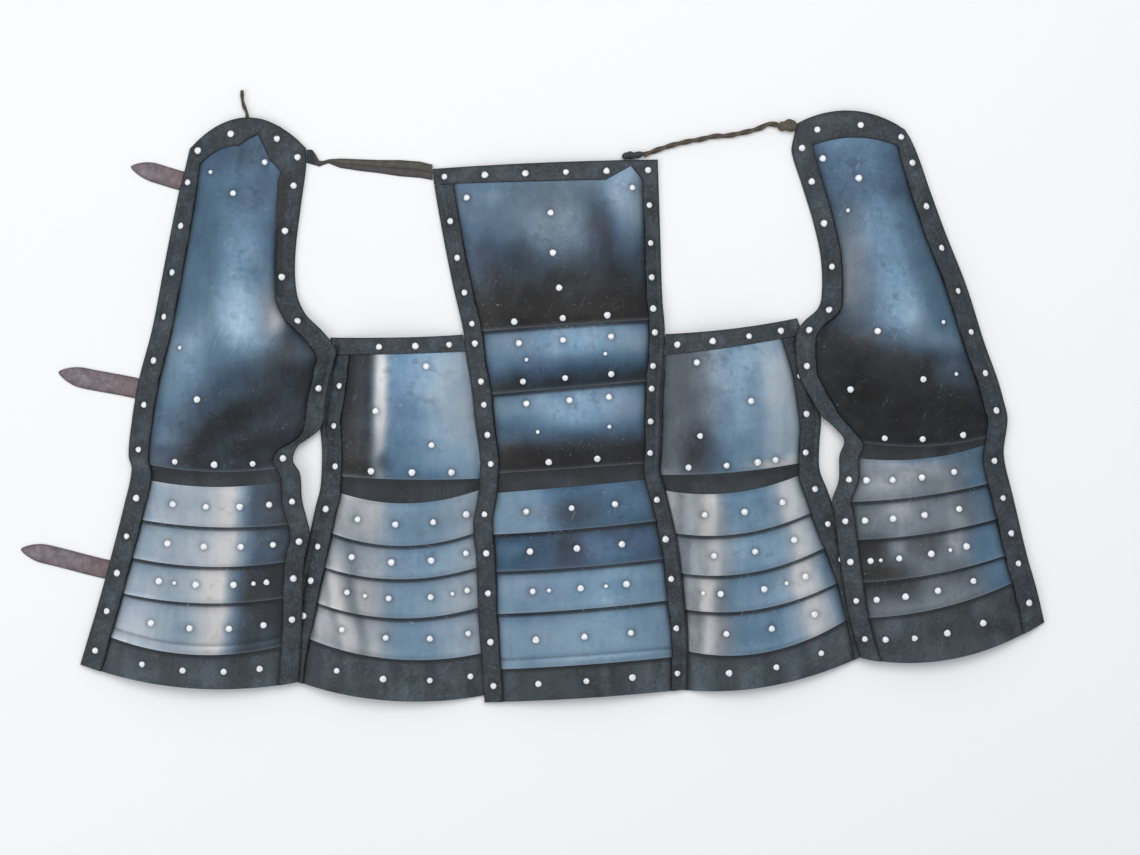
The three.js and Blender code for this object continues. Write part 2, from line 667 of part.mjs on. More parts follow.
// Left back half: the outer strip runs round the shoulder to the notch, the arm strip on from it.
{
  const { n, last, notch } = backL;
  const rim = rimOf(backL);
  const waist = waistRow(backL);
  borderStrip(backL, 'outer', {
    cols: [...range(0, notch.column - 1), notch.column - SEAM],
    rows: [...topRows, ...range(1, last)],
    keep: (i, j) => i < 3 || j < 1,
    rim,
  }, [
    ...topRivets(backL, [0.1], 0.34),
    ...topRivets(backL, [0.39]),
    ...atHeights(backL, 'left', [677, 619, 559, 501, 444, 387, 329]),
    ...skirtRivets(backL, 'left', true),
  ]);
  borderStrip(backL, 'arm', {
    cols: range(notch.column, n),
    rows: [...topRows, ...range(1, waist - 1), waist - WAIST_SEAM],
    keep: (i, j) => i >= n - 3 || j < 1,
    rim,
  }, [
    ...topRivets(backL, [0.76, 0.93], 0.36),
    ...places([[356, 671], [345, 612], [341, 552], [362, 495]]),
    ...alongBorder(backL, 'right', 7.5, waist - 1, 2),
  ]);
  borderStrip(backL, 'skirt', {
    cols: sideCols.right(n),
    rows: range(waist, last),
    keep: () => true,
    rim,
  }, skirtRivets(backL, 'right', false));
}

// Side panels: a top strip from corner to corner and an outer strip below it.
for (const [panel, side, shares] of [
  [sideL, 'left', [0.36, 0.62, 0.86]],
  [sideR, 'right', [0.12, 0.37, 0.63, 0.86]],
]) {
  const { n, last } = panel;
  const rim = rimOf(panel);
  const waist = waistRow(panel);
  borderStrip(panel, 'top', {
    cols: notTucked(panel),
    rows: [...topRows, 1 - SEAM],
    keep: () => true,
    rim,
  }, topRivets(panel, shares));
  borderStrip(panel, 'outer', {
    cols: side === 'left' ? sideCols.left : sideCols.right(n),
    rows: range(1, last),
    keep: () => true,
    rim,
  }, [
    ...alongBorder(panel, side, 2, waist - 1, 3, SIDE_LINE),
    ...skirtRivets(panel, side, false),
  ]);
}

// Front: the top strip meets the right strip at a notch that shows a point of the steel.
{
  const { n, last, notch } = front;
  const rim = rimOf(front);
  borderStrip(front, 'top', {
    cols: [...range(0, notch.column - 1), notch.column - SEAM],
    rows: [...topRows, 1 - SEAM],
    keep: () => true,
    rim,
  }, topRivets(front, [0.05, 0.23, 0.41, 0.59, 0.77]));
  borderStrip(front, 'l', {
    cols: sideCols.left,
    rows: range(1, last),
    keep: () => true,
    rim,
  }, [
    ...atHeights(front, 'left', [627, 578, 533, 492, 466, 418, 388, 348, 311]),
    ...skirtRivets(front, 'left', true),
  ]);
  borderStrip(front, 'r', {
    cols: range(notch.column, n),
    rows: [...topRows, ...range(1, last)],
    keep: (i, j) => i >= n - 3 || j < 1,
    rim,
  }, [
    ...atHeights(front, 'right', [692, 647, 597, 553, 512, 481, 437, 408, 366, 326]),
    ...skirtRivets(front, 'right', true),
  ]);
}

// Right back half: the arm strip runs up and across the shoulder, the outer strip takes the corner.
{
  const { n, last } = backR;
  const rim = rimOf(backR);
  const waist = waistRow(backR);
  borderStrip(backR, 'arm', {
    cols: [...range(0, n - 4), n - 3 - SEAM],
    rows: [...topRows, ...range(1, waist - 1), waist - WAIST_SEAM],
    keep: (i, j) => i < 3 || j < 1,
    rim,
  }, [
    ...topRivets(backR, [0.2, 0.56]),
    ...atHeights(backR, 'left', [720, 678, 623, 567, 511]),
    ...alongBorder(backR, 'left', 5.8, 6.6, 2),
  ]);
  borderStrip(backR, 'outer', {
    cols: sideCols.right(n),
    rows: [...topRows, ...range(1, last)],
    keep: () => true,
    rim,
  }, [
    ...topRivets(backR, [0.9]),
    ...atHeights(backR, 'right', [701, 646, 591, 535, 481, 429, 379]),
    ...skirtRivets(backR, 'right', true),
  ]);
  borderStrip(backR, 'skirt', {
    cols: sideCols.left,
    rows: range(waist, last),
    keep: () => true,
    rim,
  }, skirtRivets(backR, 'left', true));
}

const SEAT = 1; // from the panel's edge to the root of a strap

// A strap's tip is rounded from corner to corner. Each corner is so far back from the tip and so far
// to the side, and the curve between it and the tip leans towards a point beside the tip.
const UPPER_CORNER = { back: 16, side: 8, lean: [1, 6] };
const LOWER_CORNER = { back: 30, side: -12, lean: [4, -7] };

// A strap tongue that comes from under the left edge, flat on the floor.
function strapTongue(name, [tipX, tipY], rootTop, rootBottom) {
  const edge = (y) => new THREE.Vector2(backL.leftAt(y) - SEAT, y);
  const [a, b] = [edge(rootTop), edge(rootBottom)];
  const tip = new THREE.Vector2(tipX, tipY);
  const inward = a.clone().add(b).multiplyScalar(0.5).sub(tip).normalize();
  const corner = ({ back, side }) => tip.clone().addScaledVector(inward, back).add({ x: 0, y: side });
  const [upper, lower] = [corner(UPPER_CORNER), corner(LOWER_CORNER)];
  const leaning = ({ lean }) => [tip.x + lean[0], tip.y + lean[1]];
  const outline = new THREE.Shape();
  outline.moveTo(a.x, a.y);
  outline.lineTo(upper.x, upper.y);
  outline.quadraticCurveTo(...leaning(UPPER_CORNER), tip.x, tip.y);
  outline.quadraticCurveTo(...leaning(LOWER_CORNER), lower.x, lower.y);
  outline.lineTo(b.x, b.y);
  const settings = { depth: BORDER, curveSegments: 4, bevelEnabled: false };
  addPiece(name, new THREE.ExtrudeGeometry(outline, settings), 'strap');
}

strapTongue('strap_top', [143, 696], 690, 666);
strapTongue('strap_middle', [49, 429], 420, 394);
strapTongue('strap_low', [0, 199], 185, 161);

const SHOULDER_STRAP = 3; // its thickness

// The shoulder strap tapers from the front's corner to a tied end beside the left shoulder.
// Each station: x, y of its lower edge, y of its upper edge, z.
const shoulderStrap = ribbon([
  [372.6, 700, 719, 0],
  [380, 698, 719, 0],
  [385, 697, 712, 0],
  [389, 695, 704, 0],
  [395, 698, 704, 0],
  [401, 700, 706, 0],
  [416, 694, 707, 0],
  [442, 690, 706, 0],
  [468, 687, 705, 0],
  [494, 683, 705, 0],
  [520, 681, 703, 0],
  [536.6, 678, 699, 0],
], SHOULDER_STRAP);
addPiece('shoulder_strap', shoulderStrap, 'strap');

// A knot is a few lobes fused together: [x, y, half length, half width, half height].
function knot(name, lobes) {
  const solids = lobes.map(([x, y, rx, ry, rz]) => {
    const lobe = new THREE.SphereGeometry(1, 10, 6).rotateX(Math.PI / 2).scale(rx, ry, rz);
    return toSolid(lobe.translate(x, y, rz));
  });
  addPiece(name, fromSolid(solids.reduce((sum, lobe) => sum.add(lobe))), 'thong');
}

knot('thong_knot_front', [[791, 709.8, 9, 5, 5.5], [801, 710.8, 9, 4.5, 5]]);
knot('thong_knot_back', [[993.4, 748, 8, 7.5, 6], [1001.4, 749, 8.6, 8, 6]]);

const THONG = 3.6; // radius of the shoulder thong
const LOOSE_THONG = 2.5;
addPiece('shoulder_thong', tube([
  [810.4, 711, 3.8], [822, 715, 3.8], [836, 720, 3.7], [853, 725, 3.7], [871, 729, 3.7], [884, 731, 3.7],
  [901, 735, 3.7], [920, 736, 3.7], [936, 739, 3.7], [949, 742, 3.8], [962, 746, 3.8], [973, 751, 3.9],
  [985, 750, 4],
], THONG, 18, 10), 'thong');
addPiece('loose_thong', tube([
  [289, 795, 2.6], [289, 788, 2.6], [290, 780, 2.6], [292, 773, 2.6], [295, 766, 2.6], [296, 759.2, 2.6],
], LOOSE_THONG, 6, 8), 'thong');

// The origin is under the middle of the armour without its cords.
const cords = ['shoulder_thong', 'loose_thong', 'thong_knot_front', 'thong_knot_back'];
const outline = new THREE.Box3();
armour.children.filter((mesh) => !cords.includes(mesh.name)).forEach((mesh) => outline.expandByObject(mesh));
const middle = outline.getCenter(new THREE.Vector3());
armour.position.set(-middle.x, -middle.y, 0);
armour.updateMatrixWorld(true);

export default armour;
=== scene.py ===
# %% [markdown]
# # Lamellar armour, opened out and laid flat
# The real piece is a body armour of thin blued steel. Plates cover the chest, sides and back, and
# four rows of overlapping lames hang below the waist. Black leather borders, bands and hems hold
# them with domed rivets. The solids of the CAD model give every piece its place. This script
# rebuilds each one with fine meshes on the same curved surfaces, so that light runs over it as it
# does over real plate, and then gives each a finish.

import math

import bpy
import numpy as np
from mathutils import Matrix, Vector
from mathutils.bvhtree import BVHTree


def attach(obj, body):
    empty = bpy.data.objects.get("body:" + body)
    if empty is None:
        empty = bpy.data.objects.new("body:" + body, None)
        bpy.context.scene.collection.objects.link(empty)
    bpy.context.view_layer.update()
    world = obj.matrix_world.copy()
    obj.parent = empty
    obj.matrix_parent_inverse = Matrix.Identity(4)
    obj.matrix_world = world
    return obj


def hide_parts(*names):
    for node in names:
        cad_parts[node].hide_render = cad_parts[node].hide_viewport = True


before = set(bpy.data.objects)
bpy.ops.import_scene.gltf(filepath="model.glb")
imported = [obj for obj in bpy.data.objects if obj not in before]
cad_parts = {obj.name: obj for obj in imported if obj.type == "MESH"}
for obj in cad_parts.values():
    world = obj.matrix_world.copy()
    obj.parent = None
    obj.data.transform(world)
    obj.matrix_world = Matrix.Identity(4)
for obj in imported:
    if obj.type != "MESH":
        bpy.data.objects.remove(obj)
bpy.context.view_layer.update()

# %% [markdown]
# ## The cutting table
# A maker lays the patterns on a table, and so does this script. Its tables are in millimetres: X
# runs right from the tip of the lowest strap, and Y runs up from the lowest corner of the front
# hem. One function turns table millimetres into the metres of the model's frame.

# %% From the table to the frame
MM = 0.001
TABLE_MIDDLE = (665.569, 384.176)  # the point of the table that is the frame's origin


def to_frame(points):
    placed = np.array(points, float)
    placed[..., 0] -= TABLE_MIDDLE[0]
    placed[..., 1] -= TABLE_MIDDLE[1]
    return placed * MM


print("the table's corner in the frame, m:", to_frame([0, 0, 0]).round(4).tolist())

# %% [markdown]
# ## Camera, floor and light
# The photograph looks straight down from a distance. A long lens keeps the plates' heights from
# leaning outwards. The light is a pale sky, a wide soft panel above and a smaller one to the left,
# so that the steel has gentle highlights and the rivets throw short soft shadows. Hard lamps or a
# sky picture would do too, but soft panels are how such pieces are usually lit. The view transform
# is Standard, which shows colours as they were set and keeps the floor pale.

# %% The camera
PIXEL = 1.3  # millimetres of the table in one pixel of the photograph
PHOTO_SIZE = (1140, 855)
VIEW_CENTRE = (715.0, 356.9)  # of the photograph, on the table
LENS, SENSOR = 100.0, 36.0

camera_data = bpy.data.cameras.new("camera")
camera_data.lens, camera_data.sensor_width = LENS, SENSOR
camera = bpy.data.objects.new("camera", camera_data)
bpy.context.scene.collection.objects.link(camera)
centre = to_frame([*VIEW_CENTRE, 0])
camera_height = PHOTO_SIZE[0] * PIXEL * MM * LENS / SENSOR
camera.location = (centre[0], centre[1], camera_height)
bpy.context.scene.camera = camera
print("camera", [round(x, 3) for x in camera.location])

# %% Floor and lights
FLOOR_WIDTH = 9.0
FLOOR_DROP = 0.0006  # the floor lies a hair lower, so that it never shows through an underside
SKY_COLOUR, SKY_STRENGTH = (0.93, 0.96, 1.0, 1), 0.58
corner = FLOOR_WIDTH / 2
floor_mesh = bpy.data.meshes.new("floor")
floor_mesh.from_pydata(
    [(-corner, -corner, 0), (corner, -corner, 0), (corner, corner, 0), (-corner, corner, 0)],
    [],
    [(0, 1, 2, 3)],
)
floor = bpy.data.objects.new("floor", floor_mesh)
bpy.context.scene.collection.objects.link(floor)
floor.location.z = -FLOOR_DROP


def soft_light(name, place, size, power):
    """A rectangular light that looks at the middle of the armour."""
    data = bpy.data.lights.new(name, "AREA")
    data.shape, data.size, data.size_y, data.energy = "RECTANGLE", size[0], size[1], power
    light = bpy.data.objects.new(name, data)
    light.location = place
    light.rotation_euler = (-Vector(place)).to_track_quat("-Z", "Y").to_euler()
    bpy.context.scene.collection.objects.link(light)


soft_light("light_above", place=(0.3, 1.2, 3.0), size=(2.6, 2.0), power=44)
soft_light("light_left", place=(-2.6, -0.6, 1.9), size=(1.6, 1.6), power=18)
sky = bpy.data.worlds.new("sky")
sky.use_nodes = True
sky.node_tree.nodes["Background"].inputs["Color"].default_value = SKY_COLOUR
sky.node_tree.nodes["Background"].inputs["Strength"].default_value = SKY_STRENGTH
bpy.context.scene.world = sky
bpy.context.scene.view_settings.view_transform = "Standard"
print("lights:", len(bpy.data.lights), "and a sky of strength", SKY_STRENGTH)

# %% [markdown]
# ## Smooth curves through measured points
# The edge of each panel is a table of [y, x]. Straight lines between the points would show as
# corners in the leather, and a Bezier curve object would have to be turned into points again. A
# Hermite curve runs through the points with no kinks, and numpy evaluates it for a whole mesh.


# %% A curve through a table
def curve_through(table):
    ys, xs = np.array(sorted(table), float).T
    slope = np.empty_like(xs)
    slope[1:-1] = (xs[2:] - xs[:-2]) / (ys[2:] - ys[:-2])
    slope[0] = (xs[1] - xs[0]) / (ys[1] - ys[0])
    slope[-1] = (xs[-1] - xs[-2]) / (ys[-1] - ys[-2])

    def at(y):
        k = np.clip(np.searchsorted(ys, y) - 1, 0, len(ys) - 2)
        h = ys[k + 1] - ys[k]
        t = np.clip((y - ys[k]) / h, 0, 1)
        ease = t * t * (3 - 2 * t)
        bend = t * (1 - t) * h * ((1 - t) * slope[k] - t * slope[k + 1])
        return xs[k] + (xs[k + 1] - xs[k]) * ease + bend

    return at


trial = curve_through([[0, 0], [10, 4], [20, 0]])
print("a curve that climbs to 4 in 10 steps has climbed", round(float(trial(5)), 2), "after 5")

# %% [markdown]
# ## Panels
# The armour has five panels. Each is a curved surface between its two edges, arched across like a
# body and described by rows from the shoulder to the hem. Every piece takes part of that surface
# and stands off it by its own height, which is how lames that overlap never cut through each
# other. The rows have kinds: the top edge, the inner edge of the top border, form for a row that
# only shapes the panel, the end of a plate or lame, the start of the first lame, and the hem.

# %% Sizes that all the panels share, in millimetres
STEEL, BORDER, LINER = 1.2, 2.4, 1.8  # how thick steel, a border strip, and a band or hem are
GAP = 0.3  # between pieces that lie on each other
LAP = 12.0  # how far a piece reaches under the next one
BORDER_LINE = 13.0  # from a panel's edge to its border's rivets
SIDE_LINE = 18.0  # the same on the side panels above the waist
RIM, RIM_DROP = 6.0, 1.0  # the width of a border's rim, and how far its underside drops
STEEL_INSET = 7.5  # from a panel's edge to its steel, and to where it starts to arch
TUCK, UNDER = 5.0, 2.0  # how far a side panel goes under the front, and what stays flat beyond
CELLS = 6  # the columns between two borders
LINES = CELLS + 6  # the number of the last line across a panel
TOP_RIM, TOP_WALL, TOP_STEEL = 0.2, 0.25, 0.3  # of the first row: the rim, its wall, the steel
OVER_LINER = LINER + GAP
OVER_STEEL = STEEL + 2 * GAP
LAME_RISE, HEM_RISE = 2.0, 2.9  # how far a piece's tucked edge lies below its shown one
SEAM, WAIST_SEAM = 0.004, 0.002  # of a column and of a row, left between two border strips
print("a plate's outside stands", round(OVER_LINER + STEEL, 1), "mm off its panel at the waist")


# %% The hidden rows under the laps
def with_laps(table):
    """Adds the hidden rows where one piece starts under the next."""
    out = []
    for k, (kind, *values) in enumerate(table):
        values = np.array(values, float)
        lap = {"end": (k - 1, LAP), "start": (k + 1, -LAP)}.get(kind)
        if lap:
            other = np.array(table[lap[0]][1:], float)
            share = abs(lap[1] / (other[1] - values[1]))
            moved = values + (other - values) * share
            moved[:3] = values[:3] + lap[1]
            extra = ("lap", moved)
        if kind == "end":
            out.append(extra)
        out.append((kind, values))
        if kind == "start":
            out.append(extra)
    return out


trial_rows = [("top", 60, 60, 60), ("end", 30, 30, 30), ("start", 20, 20, 20), ("hem", 0, 0, 0)]
print("rows with their laps:", [kind for kind, _ in with_laps(trial_rows)])


# %% A panel's rows
class PanelRows:
    """What the table of a panel says, row by row."""

    def __init__(self, name, left, right, borders, peak, table, rims, notch=None, tucked=None):
        rows = with_laps(table)
        self.name, self.left, self.right = name, left, right
        self.borders, self.peak, self.rims, self.notch, self.tucked = borders, peak, rims, notch, tucked
        self.kinds = [kind for kind, _ in rows]
        self.values = np.array([values for _, values in rows])
        self.last = len(rows) - 1
        self.ends = [j for j, kind in enumerate(self.kinds) if kind == "end"]
        self.start = self.kinds.index("start")
        inset = {side: (0, RIM, STEEL_INSET) for side in ("left", "right")}
        if tucked:
            inset[tucked] = (0, TUCK + GAP, TUCK + UNDER)
        self.insets = (*inset["left"], borders[0]), (*inset["right"], borders[1])
        middle = self.values[:, 1]
        self.smooth = [curve_through(list(zip(middle, self.values[:, k]))) for k in (3, 4, 5)]
        self.flats = []

    def row_values(self, j):
        """A row's height at left, middle and right, its arch, and how high its edges stand."""
        index = np.arange(self.last + 1)
        yl, ym, yr = (np.interp(j, index, self.values[:, k]) for k in range(3))
        arch, lift_l, lift_r = (shape(ym) for shape in self.smooth)
        return yl, ym, yr, arch, lift_l, lift_r

    def width(self, j):
        """How far it is from edge to edge along a row."""
        yl, _, yr, *_ = self.row_values(j)
        return self.right(yr) - self.left(yl)

    def row_at(self, y):
        """The row whose middle is at this height on the table."""
        return float(np.interp(-y, -self.values[:, 1], np.arange(self.last + 1)))


def abilities(kind):
    """The names of what a class can do, to print after a cell that defines one."""
    return ", ".join(name for name in vars(kind) if not name.startswith("_"))


print("a panel's rows give:", abilities(PanelRows))


# %% A panel's surface
class PanelSurface(PanelRows):
    """The curved surface between the two edges of a panel."""

    def distance(self, i, width):
        """How far in from the left edge the column lines are, on rows of these widths."""
        lefts, rights = self.insets
        width = np.asarray(width, float)
        lines = [np.full(width.shape, step) for step in lefts[:3]]
        start, stop = lefts[3], width - rights[3]
        for k in range(3, LINES - 2):
            if not self.notch:
                lines.append(start + (stop - start) * (k - 3) / CELLS)
            elif k < self.notch["column"]:
                foot = self.notch["foot"] * width
                lines.append(start + (foot - start) * (k - 3) / (self.notch["column"] - 4))
            else:
                point = self.notch["point"] * width
                share = (k - self.notch["column"]) / (LINES - 3 - self.notch["column"])
                lines.append(point + (stop - point) * share)
        lines += [width - step for step in rights[2::-1]]
        lines = np.stack(lines, axis=-1)
        low = np.clip(np.floor(i).astype(int), 0, LINES - 1)
        share = i - low
        return lines[..., low] * (1 - share) + lines[..., low + 1] * share

    def on_row(self, distance, j, extra=0.0):
        """The point of the panel at a distance from its left edge along a row."""
        yl, ym, yr, arch, lift_l, lift_r = self.row_values(j)
        xl = self.left(yl)
        width = self.right(yr) - xl
        u = distance / width
        y = yl + (yr - yl) * u + (ym - (yl + yr) / 2) * 4 * u * (1 - u) + extra
        flat_l, flat_r = self.insets[0][2], self.insets[1][2]
        s = np.clip((distance - flat_l) / (width - flat_l - flat_r), 0, 1)
        off = np.where(s < self.peak, (self.peak - s) / self.peak, (s - self.peak) / (1 - self.peak))
        z = lift_l + (lift_r - lift_l) * u + arch * (1 - off**2)
        return np.stack([xl + distance, y, z], axis=-1)

    def surface(self, cols, rows):
        """The panel's own surface on a lattice: a point for each row and column."""
        i, j = np.meshgrid(cols, rows)
        distance = self.distance(np.asarray(cols, float), self.width(np.asarray(rows, float)))
        extra = 0.0
        if self.notch:
            across = np.clip(1 - abs(i - self.notch["column"]), 0, 1)
            extra = self.notch["rise"] * across * np.clip(1 - abs(j - 1), 0, 1)
        return self.on_row(distance, j, extra), distance


print("a panel's surface gives:", abilities(PanelSurface))


# %% Places on a panel
class Panel(PanelSurface):
    """A panel with its pieces: where rivets go, and how high a border has to stand."""

    def spot(self, share, j):
        """The place on the table at a share of a row's width."""
        j = np.asarray(j, float)
        return self.on_row(share * self.width(j), j)[..., :2]

    def in_from(self, side, line, j):
        """The place on the table that is a line's distance in from one side."""
        width = self.width(np.asarray(j, float))
        return self.on_row(line if side == "left" else width - line, np.asarray(j, float))[..., :2]

    def clear(self, j):
        """How high a border strip stands to clear the steel and the liners under it."""
        index = np.arange(self.last + 1)
        height = np.full(len(index), STEEL)
        for flat in self.flats:
            inside = (index >= flat["from"]) & (index <= flat["to"])
            top = np.interp(index, flat["rows"], flat["off"]) + flat["thick"]
            height = np.where(inside, np.maximum(height, top), height)
        return GAP + np.interp(j, index, height)


print("a border on bare steel stands", GAP + STEEL, "mm off the panel")

# %% [markdown]
# The five panels' own numbers follow: their edges, and a table of rows. A row gives its height at
# the left edge, in the middle and at the right edge, how high the panel arches there, and how
# high its two edges stand. The shapes could be drawn by hand in edit mode, but a table is easier
# to correct: one number moves the plate, its border and its rivets together.

# %% The front panel
ALL = 99  # more rows than any panel has: that side's border folds to the floor all the way down
front_left = curve_through([
    [692, 537], [676, 538], [612, 549], [541, 563], [485, 576], [455, 580], [406, 588], [360, 593],
    [315, 599], [291, 598], [263, 595], [234, 590], [185, 594], [107, 597], [48, 601], [0, 604],
])
front_right = curve_through([
    [705, 829], [614, 832], [523, 835], [484, 838], [445, 836], [393, 833], [328, 832], [299, 831],
    [281, 836], [263, 841], [224, 850], [181, 857], [133, 862], [81, 867], [17, 867],
])
front = Panel(
    "front", front_left, front_right, (25, 21), 0.5,
    [
        ("top", 693, 700, 705, 8, 0.5, 0.5), ("inner", 672, 675, 679, 14, 0.5, 0.5),
        ("form", 633, 633, 633, 30, 0.5, 0.5), ("form", 588, 588, 588, 38, 0.5, 0.5),
        ("form", 538, 541, 546, 35, 0.5, 0.5), ("end", 480, 489, 498, 25, 3, 3),
        ("form", 441, 449, 460, 30, 3, 3), ("end", 398, 408, 419, 21, 3, 3),
        ("form", 349, 357, 366, 29, 3, 3), ("end", 296, 304, 312, 17, 3, 3),
        ("start", 270, 280, 291, 15, 3, 3), ("end", 217, 225, 238, 18, 3, 3),
        ("end", 169, 176, 189, 20, 3, 3), ("end", 114, 122, 135, 22, 3, 3),
        ("end", 42, 51, 61, 23, 3, 3), ("hem", 0, 7, 17, 15, 3, 3),
    ],
    rims=(6, 6), notch={"column": 8, "foot": 0.765, "point": 0.877, "rise": 18},
)
print(front.name, "rows", len(front.kinds))

# %% The two side panels
side_l = Panel(
    "side_l",
    curve_through([
        [473, 404], [412, 398], [364, 391], [324, 393], [280, 391], [255, 385], [203, 374],
        [159, 365], [112, 355], [68, 346], [16, 339],
    ]),
    lambda y: front_left(y) + TUCK, (28, 24), 0.36,
    [
        ("top", 474, 473, 478, 16, 0.5, 2.5), ("inner", 450, 451, 455, 20, 0.5, 2.5),
        ("form", 411, 411, 412, 26, 0.5, 2.5), ("form", 364, 364, 366, 28, 0.5, 2.5),
        ("end", 296, 290, 291, 25, 0.5, 2.5), ("start", 282, 259, 278, 21, 0.5, 2.5),
        ("end", 231, 204, 222, 22, 0.5, 2.5), ("end", 185, 161, 177, 24, 0.5, 2.5),
        ("end", 140, 111, 125, 25, 0.5, 2.5), ("end", 94, 59, 65, 25, 0.5, 2.5),
        ("hem", 34, 4, 10, 17, 0.5, 2.5),
    ],
    rims=(ALL, 0), tucked="right",
)
side_r = Panel(
    "side_r",
    lambda y: front_right(y) - TUCK,
    curve_through([
        [499, 1010], [464, 1022], [429, 1032], [393, 1038], [364, 1041], [339, 1039], [303, 1039],
        [276, 1049], [243, 1061], [200, 1078], [155, 1093], [107, 1104], [61, 1113], [39, 1118],
    ]),
    (24, 28), 0.38,
    [
        ("top", 478, 484, 499, 16, 2.6, 0.5), ("inner", 449, 460, 477, 20, 2.6, 0.5),
        ("form", 403, 408, 429, 26, 2.6, 0.5), ("form", 360, 361, 384, 28, 2.6, 0.5),
        ("end", 296, 300, 316, 25, 2.6, 0.5), ("start", 277, 274, 307, 21, 2.6, 0.5),
        ("end", 221, 222, 260, 22, 2.6, 0.5), ("end", 169, 172, 216, 24, 2.6, 0.5),
        ("end", 122, 125, 170, 25, 2.6, 0.5), ("end", 68, 70, 125, 25, 2.6, 0.5),
        ("hem", 16, 25, 68, 17, 2.6, 0.5),
    ],
    rims=(0, ALL), tucked="left",
)
print(side_l.name, side_r.name, "rows", len(side_l.kinds))

# %% The left half of the back
back_l = Panel(
    "back_l",
    curve_through([
        [719, 221], [685, 213], [663, 207], [573, 189], [484, 172], [419, 155], [367, 146],
        [321, 142], [303, 146], [263, 138], [133, 104], [49, 79],
    ]),
    curve_through([
        [720, 372], [695, 372], [643, 365], [580, 358], [532, 360], [504, 372], [481, 395],
        [458, 412], [442, 409], [412, 402], [385, 398], [362, 395], [349, 385], [335, 364],
        [315, 356], [298, 365], [263, 368], [235, 375], [218, 378], [185, 371], [81, 367],
        [27, 363],
    ]),
    (28, 26), 0.46,
    [
        ("top", 719, 759, 720, 4, 0.5, 0.5), ("inner", 660, 722, 650, 9, 0.5, 0.5),
        ("form", 632, 652, 618, 19, 0.5, 0.5), ("form", 597, 606, 596, 26, 0.5, 0.5),
        ("form", 555, 559, 568, 32, 0.5, 0.5), ("form", 503, 506, 527, 38, 0.5, 2),
        ("form", 458, 455, 481, 38, 0.5, 8), ("form", 408, 403, 440, 34, 0.5, 8),
        ("form", 360, 354, 386, 27, 0.5, 8), ("end", 315, 300, 307, 18, 0.5, 8),
        ("start", 294, 280, 292, 16, 0.5, 8), ("end", 242, 228, 234, 18, 0.5, 8),
        ("end", 194, 177, 187, 20, 0.5, 8), ("end", 148, 130, 140, 22, 0.5, 9),
        ("end", 95, 64, 81, 23, 0.5, 10), ("hem", 49, 20, 27, 15, 0.5, 10),
    ],
    rims=(ALL, 6), notch={"column": 7, "foot": 0.5, "point": 0.65, "rise": 22},
)
print(back_l.name, "rows", len(back_l.kinds))

# %% The right half of the back
back_r = Panel(
    "back_r",
    curve_through([
        [752, 1010], [731, 1005], [715, 1003], [676, 1015], [624, 1031], [576, 1041], [528, 1042],
        [510, 1036], [494, 1018], [477, 1008], [429, 1010], [412, 1017], [393, 1028], [373, 1040],
        [358, 1056], [341, 1070], [321, 1064], [289, 1063], [261, 1054], [247, 1057], [198, 1063],
        [140, 1071], [100, 1079], [58, 1092],
    ]),
    curve_through([
        [744, 1150], [731, 1158], [705, 1169], [667, 1182], [612, 1202], [541, 1230], [468, 1253],
        [421, 1270], [393, 1278], [369, 1283], [328, 1278], [308, 1280], [268, 1290], [188, 1309],
        [146, 1321], [104, 1331],
    ]),
    (26, 28), 0.56,
    [
        ("top", 752, 768, 744, 4, 0.5, 0.5), ("inner", 711, 733, 709, 8, 0.5, 0.5),
        ("form", 659, 668, 666, 16, 0.5, 0.5), ("form", 607, 611, 619, 25, 0.5, 0.5),
        ("form", 558, 558, 572, 32, 0.5, 0.5), ("form", 522, 507, 525, 38, 2, 0.5),
        ("form", 477, 464, 478, 38, 10, 0.5), ("form", 412, 412, 432, 34, 10, 0.5),
        ("form", 370, 369, 386, 28, 10, 0.5), ("end", 343, 333, 352, 20, 10, 0.5),
        ("start", 321, 317, 345, 16, 10, 0.5), ("end", 260, 268, 291, 18, 10, 0.5),
        ("end", 211, 220, 246, 20, 10, 0.5), ("end", 155, 168, 200, 22, 11, 0.5),
        ("end", 110, 125, 168, 23, 12, 0.5), ("hem", 58, 58, 104, 15, 12, 0.5),
    ],
    rims=(6, ALL),
)
print(back_r.name, "rows", len(back_r.kinds))

# %% [markdown]
# ## Smooth noise
# Hand-worked steel and old leather are never quite even. Blender's displace modifier could dent
# the meshes, but the same noise is needed for tones and edges too. So one repeatable field of
# value noise gives the meshes small dents and swellings, and the finishes their uneven edges.

# %% A repeatable noise field
NOISE_CELLS = 64
NOISE_SHIFT = (11.3, 5.7)  # keeps the table's corner away from the corner of a cell
noise_values = np.random.default_rng(7).random((NOISE_CELLS, NOISE_CELLS))


def noise(x, y, size):
    """Smooth values from -1 to 1 that change over about size millimetres."""
    px, py = np.asarray(x) / size + NOISE_SHIFT[0], np.asarray(y) / size + NOISE_SHIFT[1]
    ix, iy = np.floor(px).astype(int), np.floor(py).astype(int)
    fx, fy = px - ix, py - iy
    fx, fy = fx * fx * (3 - 2 * fx), fy * fy * (3 - 2 * fy)
    at = lambda a, b: noise_values[a % NOISE_CELLS, b % NOISE_CELLS]
    low = at(ix, iy) * (1 - fx) + at(ix + 1, iy) * fx
    high = at(ix, iy + 1) * (1 - fx) + at(ix + 1, iy + 1) * fx
    return (low * (1 - fy) + high * fy) * 2 - 1


print("noise at the table's corner:", round(float(noise(0, 0, 60)), 3))

